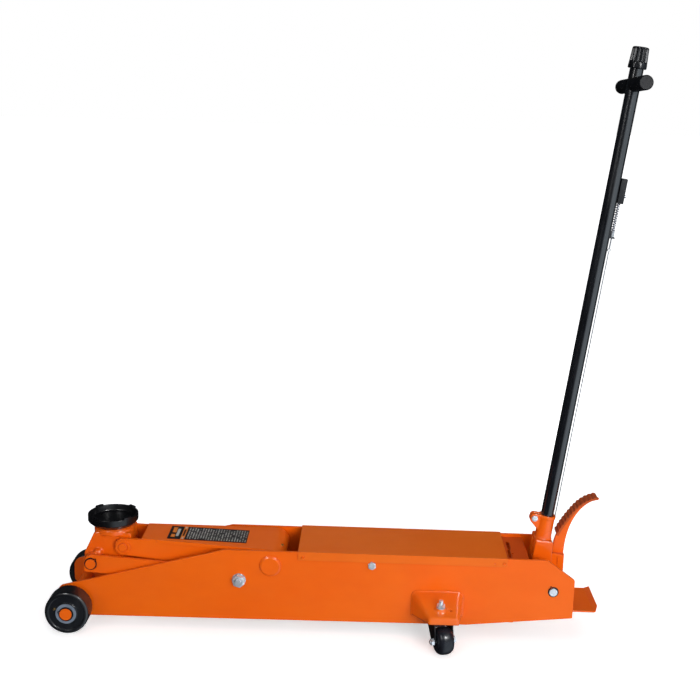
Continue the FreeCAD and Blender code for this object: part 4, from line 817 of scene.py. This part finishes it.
def circlip_outline(inner, outer, gap, opening):
    """An open ring, wider opposite its gap, with a small ear at each end."""
    steps = 40
    width = outer - inner
    ear_tip = outer + width * 0.5
    first = gap / 2
    last = 2 * math.pi - first
    points = []

    def add(radius, angle):
        points.append((radius * math.cos(angle + opening), radius * math.sin(angle + opening)))

    for index in range(steps + 1):
        angle = first + (last - first) * index / steps
        belly = 0.5 - 0.5 * math.cos(angle)
        add(outer - width * 0.2 * (1 - belly), angle)
    for angle in (last + 0.04, last + 0.16):
        add(ear_tip, angle)
    for index in range(steps + 1):
        add(inner, last - (last - first) * index / steps)
    for angle in (first - 0.16, first - 0.04):
        add(ear_tip, angle)
    return points


def make_circlips():
    """Retaining rings on both ends of the axle and pins; each opens towards its own angle."""
    band = 4 * MM
    gauge = 1.6 * MM
    setback = 2 * MM
    gap = 0.30
    # Solid, body, centre, inner radius, and the angle of the gap.
    places = (
        ("axle_circlips", "chassis", joint_place("wheel_left_spin"), 16.5 * MM, 2.9),
        ("rear_pin_circlips", "chassis", joint_place("handle_pump"), 11 * MM, 2.0),
        ("head_circlips", "head", middle("head_lower_pin"), 14 * MM, 0.8),
    )
    for node, body, centre, inner, opening in places:
        low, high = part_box(node)
        solid = Solid()
        for side in (LEFT, RIGHT):
            start = high.y - setback if side == RIGHT else low.y + setback
            outline = circlip_outline(inner, inner + band, gap, opening)
            solid.extruded(outline, gauge, stand((centre.x, start, centre.z), Y * side))
        solid.finish(node + "_fine", BLACK_OXIDE, body, (node,), angle=40)


TUBE_AXIS = Vector(JOINTS["knob_turn"]["axis"]).normalized()
TUBE_TOP = joint_place("knob_turn")


def tube_frame(height=0.0):
    """A frame on the handle tube's axis; zero height is the top of the tube."""
    across = Y
    forward = across.cross(TUBE_AXIS)
    turned = Matrix((forward, across, TUBE_AXIS)).transposed().to_4x4()
    return Matrix.Translation(TUBE_TOP + TUBE_AXIS * height) @ turned


def make_release_knob():
    """A fluted, tapering knob with a lobed skirt round its foot."""
    flute_count = 14
    flute_depth = 3.4 * MM
    flute_start = 0.27
    flute_end = 0.97
    run_in = 0.06
    run_out = 0.05
    lobe_count = 7
    lobe_depth = 1.3 * MM
    lobe_end = 0.22
    height = 54 * MM
    skirt = 24 * MM
    grip = 23.2 * MM
    taper = 3.2 * MM
    grip_start = 0.24
    grip_length = 0.70
    grip_steps = 24
    recess = 0.8 * MM

    def reshape(angle, radius, z):
        share = z / height
        flute = 0.5 + 0.5 * math.cos(flute_count * angle)
        depth = 0.0
        if flute_start < share < flute_end:
            depth = flute_depth * min(1, (share - flute_start) / run_in, (flute_end - share) / run_out)
        lobe = 0.0
        if share < lobe_end:
            lobe = lobe_depth * (0.5 + 0.5 * math.cos(lobe_count * angle))
        return radius - depth * flute ** 0.5 - lobe, z

    profile = [(6.2 * MM, 0), (22.4 * MM, 0), (skirt, 1.2 * MM), (skirt, 9 * MM), (grip, 12 * MM)]
    for index in range(grip_steps + 1):
        rise = grip_length * index / grip_steps
        profile.append((grip - taper * rise, (grip_start + rise) * height))
    profile += [
        (20.2 * MM, 0.965 * height), (18.6 * MM, 0.99 * height), (16.0 * MM, height),
        (8.0 * MM, height), (7.2 * MM, height - recess), (3 * MM, height - recess),
    ]
    solid = Solid()
    solid.turned(profile, tube_frame(1 * MM), 168, shape=reshape)
    solid.finish("knob_fine", BLACK_PLASTIC, "knob", ("release_knob",), angle=50)


def spring_rise(share, end_share, end_rise):
    """How far up a wound spring the wire is, when its first and last coils lie almost flat."""
    if share <= end_share:
        return end_rise * share / end_share
    if share >= 1 - end_share:
        return 1 - end_rise * (1 - share) / end_share
    middle_share = (share - end_share) / (1 - 2 * end_share)
    return end_rise + (1 - 2 * end_rise) * middle_share


def make_latch_spring():
    """A wound wire spring round the latch rod; its top end stays under the housing."""
    low = -413.7 * MM
    high = -341.4 * MM
    wire = 1.0 * MM
    coil = 4.0 * MM
    offset = 22.6 * MM
    turns = 13
    steps = turns * 22
    here = tube_frame()
    path = []
    for index in range(steps + 1):
        share = index / steps
        angle = 2 * math.pi * turns * share
        rise = spring_rise(share, end_share=1.2 / turns, end_rise=0.03)
        height = low + wire + (high - low - 2 * wire) * rise
        path.append(here @ Vector((
            offset + coil * math.cos(angle), coil * math.sin(angle), height)))
    solid = Solid()
    solid.swept(path, wire, sides=10)
    obj = solid.finish("latch_coil", SPRING_STEEL, "handle", ("latch_spring",), angle=60)
    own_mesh(obj)


def ripple(base, pitch_steps, rng, swell):
    """Bead radius that swells once for every few steps, with a little randomness."""
    draws = 400
    noise = [rng.uniform(-0.08, 0.08) for _ in range(draws)]

    def radius(index):
        wave = math.sin(2 * math.pi * index / pitch_steps)
        return base * (1 + swell * (wave + 4 * noise[index % draws]))

    return radius


def weld_bead(name, path, radius, body, closed=True, finish=ORANGE, swell=0.12):
    """A rippled bead of weld along a path; it is extra detail and replaces nothing."""
    rng = random.Random(len(path))
    solid = Solid()
    rippled = ripple(radius, pitch_steps=5, rng=rng, swell=swell)
    solid.swept(path, rippled, sides=9, closed=closed)
    solid.finish(name, finish, body, angle=80)


def circle_path(place, radius, steps):
    """Points round the z axis of a place."""
    path = []
    for index in range(steps):
        angle = 2 * math.pi * index / steps
        path.append(place @ Vector((radius * math.cos(angle), radius * math.sin(angle), 0)))
    return path


def rounded_path(corners, radius, step=0.0012):
    """Points along an open outline whose corners are rounded."""
    corner_steps = 8
    spots = []
    for index, corner in enumerate(corners):
        corner = Vector(corner)
        if index in (0, len(corners) - 1):
            spots.append(corner)
            continue
        before = (Vector(corners[index - 1]) - corner).normalized()
        after = (Vector(corners[index + 1]) - corner).normalized()
        for part in range(corner_steps + 1):
            t = part / corner_steps
            a = corner + before * radius * (1 - t)
            b = corner + after * radius * t
            spots.append(a.lerp(b, t))
    path = []
    for a, b in zip(spots, spots[1:]):
        count = max(1, int((b - a).length / step))
        for index in range(count):
            path.append(a.lerp(b, index / count))
    path.append(spots[-1])
    return path


def weld_socket():
    """The bead round the tube where it enters the socket."""
    tube_foot = -1283 * MM
    ring = circle_path(tube_frame(tube_foot), radius=23.2 * MM, steps=110)
    weld_bead("weld_socket", ring, radius=1.7 * MM, body="handle")


def weld_cap(side, word):
    """The bead round one of the lift shaft's caps."""
    lift = joint_place("lift")
    cap = stand((lift.x, side * (PLATE_Y + 0.4 * MM), lift.z), Y * side)
    ring = circle_path(cap, radius=28.8 * MM, steps=130)
    weld_bead("weld_cap_" + word, ring, radius=1.3 * MM, body="chassis")


def weld_pocket(side, word):
    """The bead that joins a caster pocket to its side plate."""
    inset = 2.5 * MM
    low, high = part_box("caster_pocket_" + word)
    y = side * (PLATE_Y + 0.8 * MM)
    left = low.x + inset
    right = high.x - inset
    top = high.z - inset
    corners = [(left, y, low.z), (left, y, top), (right, y, top), (right, y, low.z)]
    path = rounded_path(corners, radius=18 * MM)
    weld_bead(
        "weld_pocket_" + word, path, radius=4 * MM, body="chassis", closed=False,
        finish=POCKET_PAINT, swell=0.04)


def make_welds():
    """Painted-over weld beads where plates, castings and tubes are joined."""
    weld_socket()
    for side, word in SIDES:
        weld_cap(side, word)
        weld_pocket(side, word)


finish_cad_nodes()
make_lock_nuts()
make_tie_bolt()
make_clamp_bolt()
make_caster_axles()
make_caster_tyres()
make_circlips()
make_release_knob()
make_latch_spring()
make_welds()


# ---- stage, light and camera -------------------------------------------------

# The camera was solved from the photo; angles are in radians and the lens in millimetres.
CAMERA_PLACE = Vector((0.0771, -3.0192, 1.4759))
CAMERA_YAW = -0.0135
CAMERA_PITCH = 0.2260
CAMERA_ROLL = 0.0282
CAMERA_LENS = 59.06


def make_camera():
    """A camera that looks along +y, then turned by yaw, tilted down by pitch and rolled."""
    forward = Vector((
        math.sin(CAMERA_YAW) * math.cos(CAMERA_PITCH),
        math.cos(CAMERA_YAW) * math.cos(CAMERA_PITCH),
        -math.sin(CAMERA_PITCH),
    ))
    level = Vector((math.cos(CAMERA_YAW), -math.sin(CAMERA_YAW), 0))
    upright = level.cross(forward)
    right = math.cos(CAMERA_ROLL) * level + math.sin(CAMERA_ROLL) * upright
    up = -math.sin(CAMERA_ROLL) * level + math.cos(CAMERA_ROLL) * upright
    data = bpy.data.cameras.new("camera")
    data.lens = CAMERA_LENS
    data.sensor_width = 36
    camera = bpy.data.objects.new("camera", data)
    turned = Matrix((right, up, -forward)).transposed().to_4x4()
    camera.matrix_world = Matrix.Translation(CAMERA_PLACE) @ turned
    bpy.context.scene.collection.objects.link(camera)
    bpy.context.scene.camera = camera


def make_area_light(name, place, target, width, height, power, sparkle=False):
    """Soft lights only brighten surfaces; sparkle lights only show as reflections."""
    data = bpy.data.lights.new(name, "AREA")
    data.shape = "RECTANGLE"
    data.size = width
    data.size_y = height
    data.energy = power
    lamp = bpy.data.objects.new(name, data)
    lamp.visible_glossy = sparkle
    lamp.visible_diffuse = not sparkle
    lamp.location = place
    lamp.rotation_euler = (Vector(target) - Vector(place)).to_track_quat("-Z", "Y").to_euler()
    bpy.context.scene.collection.objects.link(lamp)


def make_background(tree, colour, strength):
    """One flat world colour."""
    background = tree.nodes.new("ShaderNodeBackground")
    background.inputs["Color"].default_value = (*colour, 1)
    background.inputs["Strength"].default_value = strength
    return background


def ramp_between(tree, value, start, end):
    """Smooth 0..1 step of a value between start and end."""
    node = tree.nodes.new("ShaderNodeMapRange")
    node.interpolation_type = "SMOOTHSTEP"
    tree.links.new(value, node.inputs["Value"])
    node.inputs["From Min"].default_value = start
    node.inputs["From Max"].default_value = end
    return node.outputs["Result"]


def make_world():
    """Even white light; reflections see a dark room with a low pale wall in front on the right."""
    world = bpy.data.worlds.new("studio")
    bpy.context.scene.world = world
    world.use_nodes = True
    tree = world.node_tree
    tree.nodes.clear()
    output = tree.nodes.new("ShaderNodeOutputWorld")
    path = tree.nodes.new("ShaderNodeLightPath")
    direction = tree.nodes.new("ShaderNodeTexCoord")
    split = tree.nodes.new("ShaderNodeSeparateXYZ")
    tree.links.new(direction.outputs["Generated"], split.inputs[0])
    # The wall fades in between two values of the reflected direction's x, y and z.
    fade_x = (-0.16, 0.36)
    fade_y = (0.25, -0.35)
    fade_z = (0.40, 0.05)
    wall = ramp_between(tree, split.outputs[0], *fade_x)
    for axis, (start, end) in ((1, fade_y), (2, fade_z)):
        narrowed = tree.nodes.new("ShaderNodeMath")
        narrowed.operation = "MULTIPLY"
        tree.links.new(wall, narrowed.inputs[0])
        tree.links.new(ramp_between(tree, split.outputs[axis], start, end), narrowed.inputs[1])
        wall = narrowed.outputs[0]
    strength = tree.nodes.new("ShaderNodeMapRange")
    tree.links.new(wall, strength.inputs["Value"])
    strength.inputs["To Min"].default_value = 0.018
    strength.inputs["To Max"].default_value = 1.30
    lit = make_background(tree, (0.95, 0.97, 1.0), 0.36)
    room = make_background(tree, (0.80, 0.91, 1.0), 1.0)
    tree.links.new(strength.outputs["Result"], room.inputs["Strength"])
    white = make_background(tree, (1.0, 1.0, 1.0), 1.0)
    for ray, other in (("Is Glossy Ray", room), ("Is Camera Ray", white)):
        choose = tree.nodes.new("ShaderNodeMixShader")
        tree.links.new(path.outputs[ray], choose.inputs[0])
        tree.links.new(lit.outputs[0], choose.inputs[1])
        tree.links.new(other.outputs[0], choose.inputs[2])
        lit = choose
    tree.links.new(lit.outputs[0], output.inputs[0])


def make_floor():
    """A pale studio floor that fades into the white backdrop away from the jack."""
    reach = 40
    glow_start = 0.52
    glow_end = 1.0
    mesh = bpy.data.meshes.new("studio_floor")
    corners = [(-reach, -reach, 0), (reach, -reach, 0), (reach, reach, 0), (-reach, reach, 0)]
    mesh.from_pydata(corners, [], [(0, 1, 2, 3)])
    floor = bpy.data.objects.new("studio_floor", mesh)
    s = Shader("floor_paper")
    seen = s.add("ShaderNodeLightPath").outputs["Is Camera Ray"]
    paper = s.mix(s.noise(2, detail=2), (0.90, 0.90, 0.90), (0.93, 0.93, 0.93))
    s.set(
        Base_Color=s.mix(seen, (0.38, 0.38, 0.38), paper),
        Roughness=0.8,
        Normal=s.bump(s.noise(300, detail=2), 0.02, 0.0005),
    )
    distance = s.add("ShaderNodeVectorMath", operation="LENGTH")
    s.link(s.place, distance.inputs[0])
    glow = s.ramp(distance.outputs["Value"], glow_start, glow_end, 0.7, 2.6)
    s.bsdf.inputs["Emission Color"].default_value = (1, 1, 1, 1)
    s.set(Emission_Strength=s.math("MULTIPLY", glow, seen))
    mesh.materials.append(s.material)
    floor.visible_glossy = False
    bpy.context.scene.collection.objects.link(floor)


make_camera()
make_world()
make_floor()
make_area_light("key", (1.5, -3.3, 1.2), (0.2, 0, 0.2), width=1.8, height=1.4, power=92)
make_area_light("fill", (-2.4, -2.8, 1.2), (-0.3, 0, 0.2), width=1.4, height=1.2, power=13)
make_area_light("top", (0.2, 0.0, 2.6), (0, 0, 0.2), width=1.8, height=0.9, power=5)
make_area_light("back", (-0.6, 3.2, 1.5), (0, 0, 0.2), width=2.0, height=1.2, power=34)
make_area_light(
    "sparkle_right", (1.5, -2.0, 2.3), (0.3, 0, 0.1), width=0.7, height=0.5, power=110, sparkle=True)
make_area_light(
    "sparkle_left", (-1.6, -2.2, 2.4), (-0.6, 0, 0.2), width=0.6, height=0.4, power=40, sparkle=True)
bpy.context.scene.view_settings.view_transform = "Standard"
